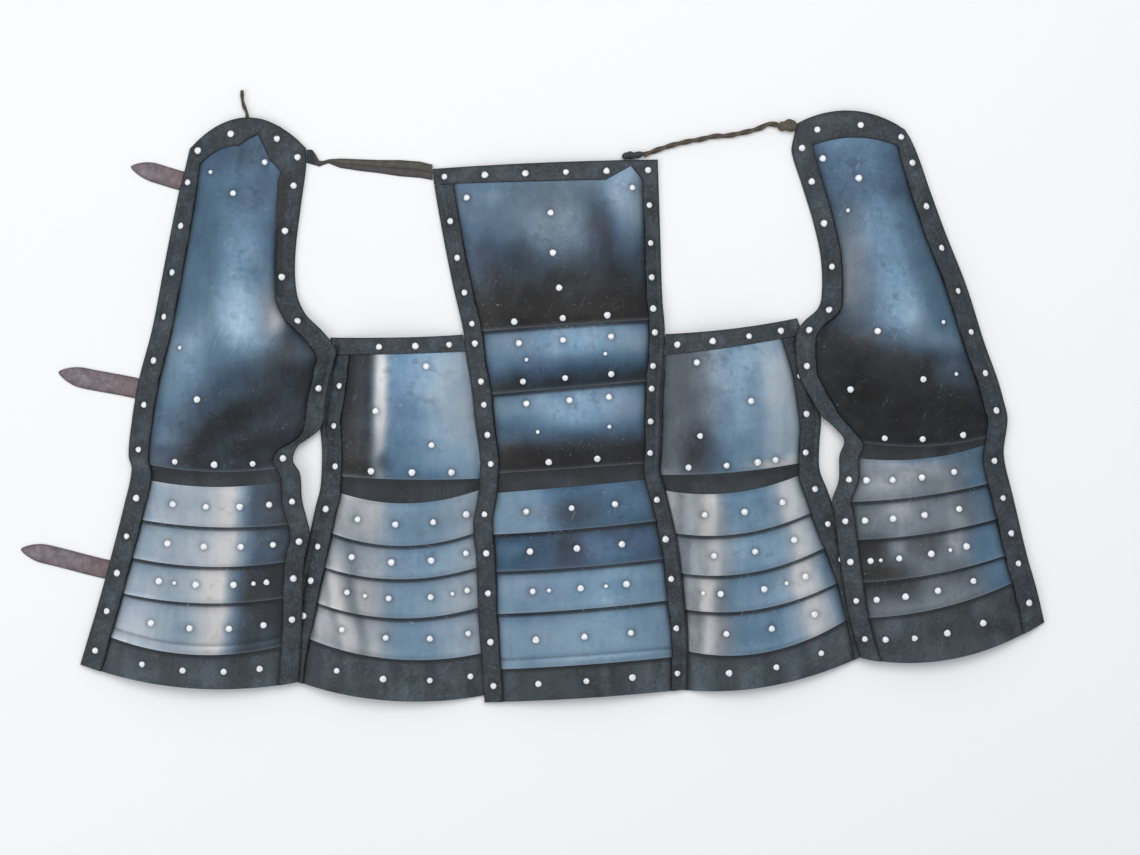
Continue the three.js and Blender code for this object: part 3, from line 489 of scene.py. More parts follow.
# %% [markdown]
# ## Fine shells
# A plate or a strip is a lattice of points pushed out from its panel twice, once for each face,
# and closed round its edges. Numpy makes the points, and a mask says which cells the piece has, so
# an L-shaped border is one piece without a seam at its corner.


# %% Even steps across and along a panel
def steps_between(marks, count):
    """Splits each stretch between two marks into its own number of equal steps."""
    out = [marks[0]]
    for a, b, n in zip(marks, marks[1:], count):
        out += list(np.linspace(a, b, n + 1)[1:])
    return np.array(out)


def marks_between(first, last):
    """The first and the last line, and every whole one between them."""
    return sorted({first, *range(math.ceil(first), math.floor(last) + 1), last})


def fine_cols(panel, first, last, step=4.0):
    """Columns about a step in millimetres apart, with one on every line of the panel."""
    marks = marks_between(first, last)
    width = panel.width(np.array([panel.last / 2]))
    at = [float(panel.distance(np.array([m]), width)[0, 0]) for m in marks]
    return steps_between(marks, [max(1, round((b - a) / step)) for a, b in zip(at, at[1:])])


def fine_rows(panel, first, last, step=4.0):
    marks = marks_between(first, last)
    at = [float(np.interp(m, np.arange(panel.last + 1), panel.values[:, 1])) for m in marks]
    return steps_between(marks, [max(1, round((a - b) / step)) for a, b in zip(at, at[1:])])


print("columns across the front:", len(fine_cols(front, 0, LINES)))

# %% Closing a lattice into a shell
def outward(points):
    """Unit normals of a lattice whose rows run down the panel."""
    across = np.gradient(points, axis=1)
    along = -np.gradient(points, axis=0)
    normal = np.cross(across, along)
    return normal / np.linalg.norm(normal, axis=-1, keepdims=True)


def shell_faces(keep):
    """Quads over, under and round the kept cells of a lattice, over vertices first."""
    nj, ni = keep.shape[0] + 1, keep.shape[1] + 1
    number = np.arange(nj * ni).reshape(nj, ni)
    below = nj * ni
    b, a = np.nonzero(keep)
    p, q = number[b, a], number[b + 1, a]
    r, s = number[b + 1, a + 1], number[b, a + 1]
    faces = [np.stack([p, q, r, s], 1), np.stack([p, s, r, q], 1) + below]
    padded = np.pad(keep, 1)
    for shift, (m, n) in (
        ((0, -1), (p, q)),
        ((1, 0), (q, r)),
        ((0, 1), (r, s)),
        ((-1, 0), (s, p)),
    ):
        edge = ~padded[b + 1 + shift[0], a + 1 + shift[1]]
        m, n = m[edge], n[edge]
        faces.append(np.stack([m, m + below, n + below, n], 1))
    return np.concatenate(faces)


def two_faces(high, low, fields):
    """The points of the outside and then of the underside, and each field once for both."""
    points = np.concatenate([high.reshape(-1, 3), low.reshape(-1, 3)])
    return points, {label: np.concatenate([v.ravel(), v.ravel()]) for label, v in fields.items()}


def cell_areas(points):
    """The area of each cell of a lattice, in square millimetres."""
    sides = np.cross(np.diff(points[:-1], axis=1), np.diff(points[:, :-1], axis=0))
    return np.linalg.norm(sides, axis=-1)


print("faces of a shell of one cell:", len(shell_faces(np.ones((1, 1), bool))))

# %% From points to a Blender object
STEEL_SHARP, LEATHER_SHARP = 38.0, 60.0  # degrees at an edge, above which it is drawn sharp


def make_mesh(name, points, faces, fields, sharp=LEATHER_SHARP):
    """A Blender object from table millimetres, with its unused points dropped."""
    used, faces = np.unique(faces, return_inverse=True)
    faces = faces.reshape(-1, 4)
    mesh = bpy.data.meshes.new(name)
    mesh.from_pydata(to_frame(points[used]).tolist(), [], faces.tolist())
    mesh.validate()
    for label, values in fields.items():
        layer = mesh.attributes.new(label, "FLOAT", "POINT")
        layer.data.foreach_set("value", np.ascontiguousarray(values[used], np.float32))
    mesh.shade_smooth()
    mesh.set_sharp_from_angle(angle=math.radians(sharp))
    return in_scene(f"{name}_fine", mesh)


def in_scene(name, mesh):
    thing = bpy.data.objects.new(name, mesh)
    bpy.context.scene.collection.objects.link(thing)
    return thing


print("edges are sharp above", STEEL_SHARP, "degrees on steel,", LEATHER_SHARP, "on leather")

# %% [markdown]
# ## Where the rivets go
# A rivet's place decides more than its own head: the leather is pulled down round it, and a ring of
# painted shade darkens the leather and the steel round it. So the places are worked out before the
# pieces they hold. Most rivets stand in rows that follow an edge, and these are found from the
# panel. A few are given by their place.

# %% Rivets on the steel
RIVET, SMALL_RIVET = 4.3, 2.8  # radius of the head


def rivets_at(places, radius=RIVET):
    return [(float(x), float(y), radius) for x, y in places]


def edge_row(panel, end, shares, above=9.0, radius=RIVET):
    """Rivets in a row, so many millimetres above the end of a plate or lame."""
    j = panel.row_at(panel.values[panel.ends[end], 1] + above)
    return rivets_at([panel.spot(share, j) for share in shares], radius)


def top_rivets(panel, shares, row=0.52):
    """Rivets along the top border, each at a share of its width."""
    return rivets_at([panel.spot(share, row) for share in shares])


def round_rivets(x, y, rivets, reach):
    """1 at the middle of a rivet and 0 away from it."""
    near = np.zeros(np.shape(x))
    for rx, ry, radius in rivets:
        near = np.maximum(near, np.exp(-(((x - rx) ** 2 + (y - ry) ** 2) / (radius * reach) ** 2)))
    return near


print("rivet heads, mm across:", 2 * RIVET, "and", 2 * SMALL_RIVET)

# %% Rivets down the borders
SHORT_ROUTE, WHOLE_ROUTE = 81, 401  # the points that stand for a stretch and for a whole side


def along_border(panel, side, first, last, count, line=BORDER_LINE):
    """Rivets at equal steps along a side border, from one row to another."""
    route = panel.in_from(side, line, np.linspace(first, last, SHORT_ROUTE))
    gone = np.concatenate([[0], np.cumsum(np.linalg.norm(np.diff(route, axis=0), axis=1))])
    at = np.linspace(0, gone[-1], count)
    return rivets_at(zip(np.interp(at, gone, route[:, 0]), np.interp(at, gone, route[:, 1])))


def at_heights(panel, side, heights, line=BORDER_LINE):
    """Rivets along a side border at the given heights on the table."""
    route = panel.in_from(side, line, np.linspace(0, panel.last, WHOLE_ROUTE))
    return rivets_at([route[np.argmax(route[:, 1] <= y)] for y in heights])


def lame_lines(panel):
    """The row through the middle of each lame of the skirt."""
    edges = [panel.start] + [j for j in panel.ends if j > panel.start]
    height = panel.values[:, 1]
    return [panel.row_at((height[a] + height[b]) / 2) for a, b in zip(edges, edges[1:])]


def skirt_rivets(panel, side, with_hem):
    """A border rivet beside each lame of the skirt, and one beside the hem if asked."""
    rows = lame_lines(panel) + ([(panel.ends[-1] + panel.last) / 2] if with_hem else [])
    return rivets_at([panel.in_from(side, BORDER_LINE, j) for j in rows])


print("border rivets beside the front's lames:", len(skirt_rivets(front, "left", False)))

# %% [markdown]
# ## Steel in light and shade
# The blue of heated steel is thin, and where it has worn or was heated longer it goes brown-black.
# On this armour the change is the strongest thing one sees. The same tones also hold painted
# reflections and highlights: bright and dark zones that stand for the sky and the dark surroundings
# mirrored in the curved plates. Noise alone would put them anywhere, and a painted picture would be
# bound to one mesh. So each piece has a short list of soft patches, laid as a painter would: a
# place on the table, a size, a tone from 0, brown-black, to 1, bright, and a turn. A "beyond"
# entry shades everything on one side of a line. A second table says where the steel is a warm grey
# and no longer blue.

# %% Laying a tone
PATCH_EDGE = 1.4  # above 1 a patch is flatter in the middle and ends sooner
LINE_SPREAD = 0.35  # of its softness: how far the shade of a line spreads


def patch(tone, x, y, place, size, value, turn=0.0, strength=1.0):
    """Lays one soft oval patch, turned by some degrees."""
    c, s = math.cos(math.radians(turn)), math.sin(math.radians(turn))
    dx, dy = x - place[0], y - place[1]
    q = ((dx * c + dy * s) / size[0]) ** 2 + ((dy * c - dx * s) / size[1]) ** 2
    share = strength * np.exp(-(q**PATCH_EDGE))
    return tone + (value - tone) * share


def beyond(tone, x, y, start, end, soft, value, strength=1.0):
    """Shades what lies right of the line from start to end. The line wanders a little."""
    dx, dy = end[0] - start[0], end[1] - start[1]
    off = ((x - start[0]) * dy - (y - start[1]) * dx) / math.hypot(dx, dy)
    off = off + 0.2 * soft * noise(x, y, 60) + 0.08 * soft * noise(x, y, 20)
    share = strength / (1 + np.exp(-off / (soft * LINE_SPREAD)))
    return tone + (value - tone) * share


at_middle = patch(0.5, 0.0, 0.0, (0, 0), (10, 10), 0.9)
print("a patch of 0.9 laid on 0.5 makes", round(float(at_middle), 2), "at its middle")

# %% The tones of the left back half and side
TONES = {
    "back_l_plate": (0.48, [
        ("patch", (300, 690), (60, 60), 0.38), ("patch", (235, 620), (40, 120), 0.57),
        ("patch", (300, 560), (60, 60), 0.62), ("patch", (262, 470), (60, 60), 0.68, -35),
        ("patch", (205, 445), (30, 70), 0.73), ("patch", (306, 498), (36, 42), 0.88, -20),
        ("beyond", (170, 312), (352, 484), 62, 0.20), ("patch", (250, 344), (62, 16), 0.05, 38, 0.7),
        ("patch", (186, 352), (24, 34), 0.46), ("patch", (190, 322), (16, 10), 0.3),
        ("patch", (330, 520), (26, 40), 0.74, -14), ("patch", (340, 500), (12, 24), 0.96, -20),
    ]),
    "back_l_lame": (0.86, [
        ("patch", (180, 160), (30, 240), 0.80, 14), ("patch", (262, 190), (24, 190), 0.98, -7),
        ("patch", (270, 190), (9, 190), 1.05, -7), ("beyond", (270, 20), (309, 320), 20, 0.16),
        ("patch", (318, 190), (10, 150), 0.24),
    ]),
    "side_l_plate": (0.56, [
        ("patch", (576, 400), (54, 110), 0.92), ("beyond", (460, 480), (460, 270), 11, 0.18),
        ("patch", (470, 400), (9, 130), 0.98), ("patch", (478, 312), (12, 14), 0.45),
        ("patch", (445, 400), (10, 90), 0.3), ("patch", (425, 300), (26, 16), 0.08),
    ]),
    "side_l_lame": (0.63, [
        ("beyond", (478, 300), (470, 20), 16, 0.80), ("beyond", (548, 20), (560, 300), 34, 0.86),
        ("patch", (400, 190), (8, 190), 0.64, 9), ("patch", (440, 110), (7, 110), 0.6, 9),
        ("patch", (415, 130), (8, 90), 0.95, 9), ("patch", (372, 120), (8, 90), 0.62, 9),
    ]),
}
print("pieces with tones on the left:", len(TONES))

# %% The tones of the front
TONES |= {
    "chest_plate": (0.51, [
        ("patch", (790, 650), (50, 70), 0.76), ("patch", (590, 650), (60, 60), 0.70),
        ("patch", (640, 620), (50, 30), 0.57), ("patch", (700, 650), (50, 50), 0.60),
        ("patch", (640, 672), (90, 12), 0.56),
        ("beyond", (540, 552), (840, 574), 60, 0.08), ("patch", (757, 604), (20, 44), 0.2, 6),
        ("patch", (650, 572), (18, 36), 0.28, -8), ("patch", (608, 566), (20, 40), 0.26),
        ("patch", (580, 590), (12, 30), 0.4), ("patch", (810, 556), (20, 36), 0.28),
    ]),
    "waist_lame_1": (0.62, [
        ("patch", (640, 468), (60, 20), 0.66), ("patch", (800, 470), (30, 20), 0.74),
        ("patch", (584, 466), (8, 22), 0.86), ("beyond", (560, 430), (850, 442), 22, 0.13),
        ("patch", (596, 430), (20, 14), 0.36),
    ]),
    "waist_lame_2": (0.62, [
        ("patch", (650, 388), (70, 16), 0.70), ("patch", (790, 386), (40, 24), 0.72),
        ("beyond", (560, 342), (850, 352), 24, 0.10), ("patch", (620, 352), (36, 14), 0.34),
        ("patch", (820, 356), (16, 20), 0.4),
    ]),
    "front_lame_1": (0.72, [
        ("beyond", (700, 200), (668, 300), 26, 0.36), ("patch", (720, 246), (26, 18), 0.22),
        ("patch", (800, 256), (40, 14), 0.42),
    ]),
    "front_lame_2": (0.34, [
        ("patch", (640, 200), (26, 12), 0.46), ("patch", (770, 200), (40, 12), 0.40),
        ("patch", (714, 196), (26, 20), 0.08), ("patch", (820, 196), (20, 12), 0.3),
    ]),
    "front_lame_3": (0.70, [
        ("patch", (650, 150), (50, 18), 0.76), ("patch", (800, 150), (40, 18), 0.62),
    ]),
    "front_lame_4": (0.70, [
        ("patch", (700, 90), (60, 18), 0.76), ("patch", (820, 96), (30, 24), 0.64),
    ]),
}
print("pieces with tones, with the front:", len(TONES))

# %% The tones of the right side and back half
TONES |= {
    "side_r_plate": (0.64, [
        ("patch", (990, 400), (56, 110), 0.96), ("beyond", (893, 480), (888, 290), 66, 0.45),
        ("patch", (905, 440), (12, 50), 0.66), ("patch", (884, 326), (24, 34), 0.26),
        ("patch", (950, 380), (20, 80), 0.66),
        ("patch", (984, 308), (34, 7), 1.0), ("patch", (1002, 316), (9, 8), 1.05),
    ]),
    "side_r_lame": (0.60, [
        ("beyond", (908, 300), (918, 20), 12, 0.76), ("patch", (862, 160), (9, 200), 0.5),
        ("patch", (898, 180), (10, 200), 0.96, -2), ("patch", (880, 90), (8, 60), 0.62),
        ("beyond", (1006, 20), (984, 330), 26, 0.84), ("patch", (1018, 170), (12, 220), 1.0, 10),
        ("patch", (1060, 150), (12, 120), 0.56, 14),
    ]),
    "back_r_plate": (0.50, [
        ("patch", (1090, 690), (90, 62), 0.41), ("patch", (1150, 530), (70, 70), 0.58, 20),
        ("patch", (1144, 596), (28, 40), 0.50, 20), ("patch", (1176, 500), (44, 46), 0.74, 20),
        ("patch", (1080, 540), (22, 80), 0.66, -6), ("patch", (1200, 466), (28, 22), 0.88, 20),
        ("patch", (1186, 546), (24, 90), 0.58, 20),
        ("beyond", (1030, 500), (1262, 424), 34, 0.09), ("patch", (1214, 430), (34, 28), 0.36, -20),
    ]),
    "back_r_lame": (0.52, [
        ("patch", (1126, 296), (30, 26), 0.80), ("patch", (1160, 300), (90, 12), 0.66),
        ("patch", (1132, 250), (20, 18), 0.74), ("patch", (1085, 250), (20, 20), 0.5),
        ("patch", (1180, 256), (20, 22), 0.48), ("patch", (1210, 250), (12, 40), 0.64, 12),
        ("patch", (1140, 204), (16, 20), 0.72), ("patch", (1100, 200), (30, 18), 0.24),
        ("patch", (1180, 205), (30, 20), 0.34), ("patch", (1215, 214), (12, 26), 0.66, 12),
        ("patch", (1120, 160), (56, 26), 0.14), ("patch", (1200, 172), (30, 26), 0.42),
        ("patch", (1268, 240), (18, 110), 0.56, 12),
    ]),
}
print("tones laid by hand:", sum(len(marks) for _, marks in TONES.values()))

# %% Where the steel is warm grey
# Warm grey where the bluing is worn, and also on the painted highlights and painted dark reflections.
WARMTH = {
    "back_l_plate": (0.12, [
        ("beyond", (170, 318), (352, 486), 48, 0.6), ("patch", (338, 504), (20, 38), 0.9),
    ]),
    "back_l_lame": (0.3, [
        ("patch", (262, 160), (20, 190), 1.0, -7), ("beyond", (267, 20), (306, 320), 19, 0.5),
    ]),
    "side_l_plate": (0.0, [("beyond", (478, 480), (478, 270), 8, 0.85)]),
    "side_l_lame": (0.1, [
        ("beyond", (478, 300), (470, 20), 16, 0.9), ("beyond", (560, 20), (572, 300), 30, 0.4),
    ]),
    "chest_plate": (0.25, [
        ("patch", (700, 630), (60, 60), 0.6), ("beyond", (540, 540), (840, 562), 40, 0.95),
    ]),
    "waist_lame_1": (0.1, [("patch", (584, 466), (10, 22), 0.9)]),
    "waist_lame_2": (0.1, [("beyond", (560, 336), (850, 346), 14, 0.9)]),
    "front_lame": (0.0, [("patch", (700, 246), (50, 14), 0.4)]),
    "side_r_plate": (0.1, [
        ("beyond", (908, 480), (902, 290), 26, 0.9), ("patch", (985, 309), (34, 9), 0.8),
    ]),
    "side_r_lame": (0.1, [
        ("beyond", (916, 300), (922, 20), 12, 1.0), ("patch", (1020, 170), (24, 220), 0.7, 10),
    ]),
    "back_r_plate": (0.1, [
        ("patch", (1076, 550), (30, 100), 0.75), ("beyond", (1030, 500), (1262, 424), 40, 0.7),
    ]),
    "back_r_lame": (0.9, [
        ("beyond", (1256, 100), (1216, 350), 16, 0.05), ("patch", (1180, 320), (100, 12), 0.3),
    ]),
}
print("pieces with warm steel:", len(WARMTH))

# %% A piece's tone at any point
# How far the painted reflections and tones of each lame are shifted, in millimetres, and how strong
# they are.
LAME_SHIFT = {"1": (2.5, 0.95), "2": (-4.0, 0.85), "3": (3.0, 1.1), "4": (-2.0, 1.0)}


def laid_by_hand(table, name, x, y):
    """The tone of a piece. Lames of one kind share a table, and each shifts it a little."""
    known, shift, contrast = name, 0.0, 1.0
    if name not in table:
        known, number = name.rsplit("_", 1)
        shift, contrast = LAME_SHIFT[number]
    base, marks = table[known]
    x = x + shift + 2.2 * noise(x, y, 38)
    out = np.full(np.shape(x), base)
    for kind, *facts in marks:
        out = (patch if kind == "patch" else beyond)(out, x, y, *facts)
    return base + (out - base) * contrast


def steel_tone(name, x, y):
    return laid_by_hand(TONES, name, x, y) + 0.045 * noise(x, y, 60) + 0.03 * noise(x, y, 22)


print("tone at the middle of the chest:", round(float(steel_tone("chest_plate", 700.0, 600.0)), 2))

# %% [markdown]
# ## Plates and lames
# Each piece of steel is a thin shell with a softened lower edge. It starts under the piece above
# and rides out over the one below. Close to a border, right under the lame above and round a rivet
# the metal is darkened with painted shade, and its lower edge has a thin painted highlight. A bevel
# modifier would soften every edge alike. Here the edge is thinned in the same numbers that place the
# points, so only the edge that shows is soft.

# %% The painted shade of a piece, and how worn it is
pieces = {}


def painted_shade(panel, distance, fine, under_edge, near):
    """Painted shade: 1 beside a border, under the edge above and round a rivet, and 0 in the open."""
    border_l = distance - panel.borders[0]
    border_r = panel.width(fine)[:, None] - distance - panel.borders[1]
    if panel.tucked == "left":
        border_l = border_l + panel.borders[0] - TUCK
    if panel.tucked == "right":
        border_r = border_r + panel.borders[1] - TUCK
    at_border = np.exp(-(np.clip(np.minimum(border_l, border_r), 0, None) / 4.0) ** 1.3)
    at_top = np.exp(-((under_edge / 4.0) ** 4)) + 0.45 * np.exp(-((under_edge / 8.0) ** 2))
    return np.clip(at_border + at_top + 0.8 * near, 0, 1)


def finish_fields(name, kind, x, y, shade, edge, under_edge):
    """What the finish has to know at each point of a plate, a lame, a band or a hem."""
    if kind == "steel":
        # Painted shade and light: a lame is a little darker right under the edge above, lighter lower
        # down.
        below = 1 - 2 * np.exp(-under_edge / 12)
        tone = steel_tone(name, x, y) + (0.05 * below if "lame" in name else 0)
        return {"shade": shade, "edge": edge, "tone": tone, "warm": laid_by_hand(WARMTH, name, x, y)}
    # On bands and hems, edge is painted shade in the hollows of the folds.
    edge = np.clip(0.3 - 0.9 * noise(x, y / 5, 15), 0, 0.6)
    # A band lies sunk between plate and skirt, so it gets strong painted shade.
    if name.endswith("_band"):
        shade = np.clip(shade + 0.75, 0, 1)
    worn = np.clip(0.55 + 0.5 * noise(x, y, 30) + 0.3 * noise(x, y / 4, 9), 0, 1)
    return {"shade": shade, "edge": edge, "worn": worn}


print("fields of a lame:", ", ".join(finish_fields("front_lame_1", "steel", 700.0, 250.0, 0, 0, 9.0)))

# %% One piece of steel or liner
STEEL_STEP = 3.2  # millimetres between the rows of a fine shell
GROOVED = ("back_l_lame_4", "front_lame_4")  # a line is pressed in above the lower edge
GROOVE_LINE, GROOVE_DEPTH = 13.0, 0.45


def keep_flat(panel, rows, off, thick):
    """Notes how high a piece stands, so that the borders over it can clear it."""
    panel.flats.append({"from": rows[0], "to": rows[-1], "rows": rows, "off": off, "thick": thick})


def flat_shell(panel, name, rows, off, thick, rivets, shown_from, kind):
    """A piece from side to side. off gives how far it stands off the panel at each of its rows."""
    first = 0 if panel.tucked == "left" else 2
    last = LINES if panel.tucked == "right" else LINES - 2
    cols = fine_cols(panel, first, last)
    fine = fine_rows(panel, rows[0], rows[-1], STEEL_STEP)
    base, distance = panel.surface(cols, fine)
    normal = outward(base)
    x, y = base[..., 0], base[..., 1]
    stand = np.interp(fine, rows, off)[:, None] + np.zeros_like(x)
    index = np.arange(panel.last + 1)
    middle = np.interp(fine, index, panel.values[:, 1])[:, None]
    to_end = middle - panel.values[rows[-1], 1]
    under_edge = np.clip(np.interp(shown_from, index, panel.values[:, 1]) - middle, 0, None)
    near = round_rivets(x, y, rivets, 1.35)
    folds = 0.5 * noise(x, y / 5, 15)
    lump = {"steel": 0.16 * noise(x, y, 70), "liner": folds}[kind]
    over = stand + thick - 0.5 * np.exp(-to_end / 1.3) * min(thick, 1.0) + np.clip(lump, -0.25, 0.3)
    over -= near * (0.25 if kind == "liner" else 0.1)
    low = base + normal * stand[..., None]
    high = base + normal * over[..., None]
    shade = painted_shade(panel, distance, fine, under_edge, near)
    if name in GROOVED:
        # The pressed line is a real groove, darkened with painted shade.
        groove = np.exp(-(((to_end - GROOVE_LINE) / 1.5) ** 2)) + np.zeros_like(x)
        shade = np.clip(shade + 0.75 * groove, 0, 1)
        high -= normal * (GROOVE_DEPTH * groove)[..., None]
    # On steel this is a thin painted highlight along the lower edge; liners get their own edge field.
    edge = np.exp(-((to_end - 1.2) / 1.1) ** 2) + np.zeros_like(x)
    fields = finish_fields(name, kind, x, y, shade, edge, under_edge)
    points, both = two_faces(high, low, fields)
    keep = np.ones((len(fine) - 1, len(cols) - 1), bool)
    pieces[name] = {
        "object": make_mesh(name, points, shell_faces(keep), both, STEEL_SHARP),
        "rivets": rivets, "kind": kind, "panel": panel,
        "cut": (float(np.ptp(x)), float(np.ptp(y)), float(cell_areas(high).sum())),
    }


def ramp(panel, rows, rise):
    """How far a lame has risen at each of its rows, from its tucked edge to its shown one."""
    height = panel.values[rows, 1]
    return list(rise * (height[0] - height) / (height[0] - height[-1]))


print("a lame rises", LAME_RISE, "mm from its tucked edge to its shown one")

# %% All the steel, bands and hems of one panel
NOTHING_ABOVE = -1  # the row above the panel: a piece that nothing shades from above


def dress_panel(panel, plate, plate_rivets, studs, small_studs, lame_name, extra=()):
    """Makes a panel's plates, band, lames and hem, from the top down."""
    upper = [j for j in panel.ends if j < panel.start]
    skirt = [j for j in panel.ends if j > panel.start]
    jobs = []
    stand_off = OVER_STEEL if len(upper) > 1 else OVER_LINER
    rows = [TOP_STEEL, *range(1, upper[0] + 1)]
    off = [stand_off if j >= upper[0] - 1 else 0 for j in rows]
    jobs.append((plate, rows, off, STEEL, plate_rivets, NOTHING_ABOVE, "steel"))
    for k, (name, rise, rivets) in enumerate(extra):
        rows = list(range(upper[k] - 1, upper[k + 1] + 1))
        jobs.append((name, rows, ramp(panel, rows, rise), STEEL, rivets, upper[k], "steel"))
    rows = list(range(upper[-1] - 1, panel.start + 2))
    jobs.append((f"{panel.name}_band", rows, [0] * len(rows), LINER, [], upper[-1], "liner"))
    lines = lame_lines(panel)
    for k, end in enumerate(skirt):
        rows = list(range(panel.start if k == 0 else skirt[k - 1] - 1, end + 1))
        rise = HEM_RISE if k == len(skirt) - 1 else LAME_RISE
        off = [OVER_LINER] * len(rows) if k == 0 else ramp(panel, rows, rise)
        rivets = rivets_at([panel.spot(share, lines[k]) for share in studs])
        if k == 2:
            rivets += rivets_at([panel.spot(share, lines[k]) for share in small_studs], SMALL_RIVET)
        shown = NOTHING_ABOVE if k == 0 else skirt[k - 1]
        jobs.append((f"{lame_name}_{k + 1}", rows, off, STEEL, rivets, shown, "steel"))
    hem_rows = list(range(skirt[-1] - 1, panel.last + 1))
    rivets = rivets_at([panel.spot(share, (skirt[-1] + panel.last) / 2) for share in studs])
    jobs.append((f"{panel.name}_hem", hem_rows, [0] * len(hem_rows), LINER, rivets, skirt[-1], "liner"))
    for name, rows, off, thick, rivets, shown, kind in jobs:
        keep_flat(panel, rows, off, thick)
        flat_shell(panel, name, rows, off, thick, rivets, shown, kind)
    print(panel.name, "steel and liners:", len(jobs))


# %% Dressing the five panels
dress_panel(
    back_l, "back_l_plate",
    rivets_at([(279, 660), (319, 701), (234, 393)]) + rivets_at([(249, 688), (211, 460)], SMALL_RIVET)
    + edge_row(back_l, 0, [0.29, 0.53, 0.76]),
    [0.27, 0.46, 0.65, 0.815], [0.35, 0.75], "back_l_lame",
)
dress_panel(
    side_l, "side_l_plate",
    rivets_at([(529, 436), (464, 378), (536, 334)]) + edge_row(side_l, 0, [0.31, 0.56, 0.8]),
    [0.26, 0.49, 0.72, 0.92], [0.36, 0.84], "side_l_lame",
)
dress_panel(
    front, "chest_plate",
    rivets_at([(581, 655), (796, 668), (690, 634), (693, 582), (701, 537)])
    + edge_row(front, 0, [0.26, 0.5, 0.72]),
    [0.27, 0.505, 0.73], [0.35, 0.63], "front_lame",
    extra=(
        ("waist_lame_1", LAME_RISE,
         edge_row(front, 1, [0.27, 0.49, 0.73], 62) + edge_row(front, 1, [0.27, 0.49, 0.73], 13)
         + edge_row(front, 1, [0.3, 0.7], 40, SMALL_RIVET)),
        ("waist_lame_2", 2.5,
         edge_row(front, 2, [0.28, 0.51, 0.72], 88) + edge_row(front, 2, [0.38, 0.65], 10)
         + edge_row(front, 2, [0.33, 0.72], 50, SMALL_RIVET)),
    ),
)
dress_panel(
    side_r, "side_r_plate",
    rivets_at([(879, 441), (949, 391), (883, 346)]) + edge_row(side_r, 0, [0.2, 0.43, 0.62, 0.73]),
    [0.24, 0.49, 0.73], [0.14, 0.62], "side_r_lame",
)
dress_panel(
    back_r, "back_r_plate",
    rivets_at([(1043, 706), (1089, 680), (1111, 481), (1170, 419), (1077, 406)])
    + rivets_at([(1075, 638), (1197, 493), (1214, 426)], SMALL_RIVET)
    + edge_row(back_r, 0, [0.27, 0.49, 0.73]),
    [0.165, 0.32, 0.495, 0.69], [0.22, 0.6], "back_r_lame",
)

# %% [markdown]
# ## Border strips
# Each border is a leather strip folded over the panel's edge. Its outer edge is rounded, its inner
# edge is cut, the rivets pull it down, and between them it swells. Where it stands free it turns
# down towards the floor, and where it lies over the next panel it stays flat. A curve with a flat
# section would be quicker, but it could not follow the arch of the panel under it. So a strip is
# cut from the panel's own surface, and a small test says which cells belong to its side and top.

# %% Where a strip has its edges and folds
STRIP_COLS = {
    "left": [0, 0.12, 0.3, 0.6, 1, 1.3, 2, 2.15, 2.35, 2.55, 2.75, 2.9, 2.96, 3],
    "right": [LINES - c for c in (3, 2.96, 2.9, 2.75, 2.55, 2.35, 2.15, 2, 1.3, 1, 0.6, 0.3, 0.12, 0)],
}
TOP_ROWS = [0, 0.03, 0.08, 0.14, 0.2, 0.25, 0.38, 0.52, 0.66, 0.8, 0.9, 0.96]
TOP_HEIGHT = 28.0  # millimetres from the top edge to the end of the first row
FAR = 1000.0  # added to the distance from a tucked side, which has no border of its own


def strip_edges(panel, rows, j, distance):
    """How far a point is from the panel's outer edge, and from the strip's inner one."""
    from_l, from_r = distance, panel.width(rows)[:, None] - distance
    if panel.tucked == "left":
        from_l = from_l + FAR
    if panel.tucked == "right":
        from_r = from_r + FAR
    outer = np.minimum(np.minimum(from_l, from_r), j * TOP_HEIGHT)
    side = np.maximum(panel.borders[0] - from_l, panel.borders[1] - from_r)
    return outer, np.maximum(side, (1 - j) * TOP_HEIGHT)


def folded_rim(panel, i, j):
    """1 where the strip folds down to the floor, and 0 where it lies on its panel."""
    index = np.arange(panel.last + 1)
    folds = [np.interp(j, index, (index < rows_down).astype(float)) for rows_down in panel.rims]
    side_l_rim = folds[0] * np.clip(2 - i, 0, 1)
    side_r_rim = folds[1] * np.clip(i - (LINES - 2), 0, 1)
    top_rim = np.clip((TOP_WALL - j) / (TOP_WALL - TOP_RIM), 0, 1)
    return np.maximum(np.maximum(side_l_rim, side_r_rim), top_rim)[..., None]


print("columns of a side strip:", len(STRIP_COLS["left"]))


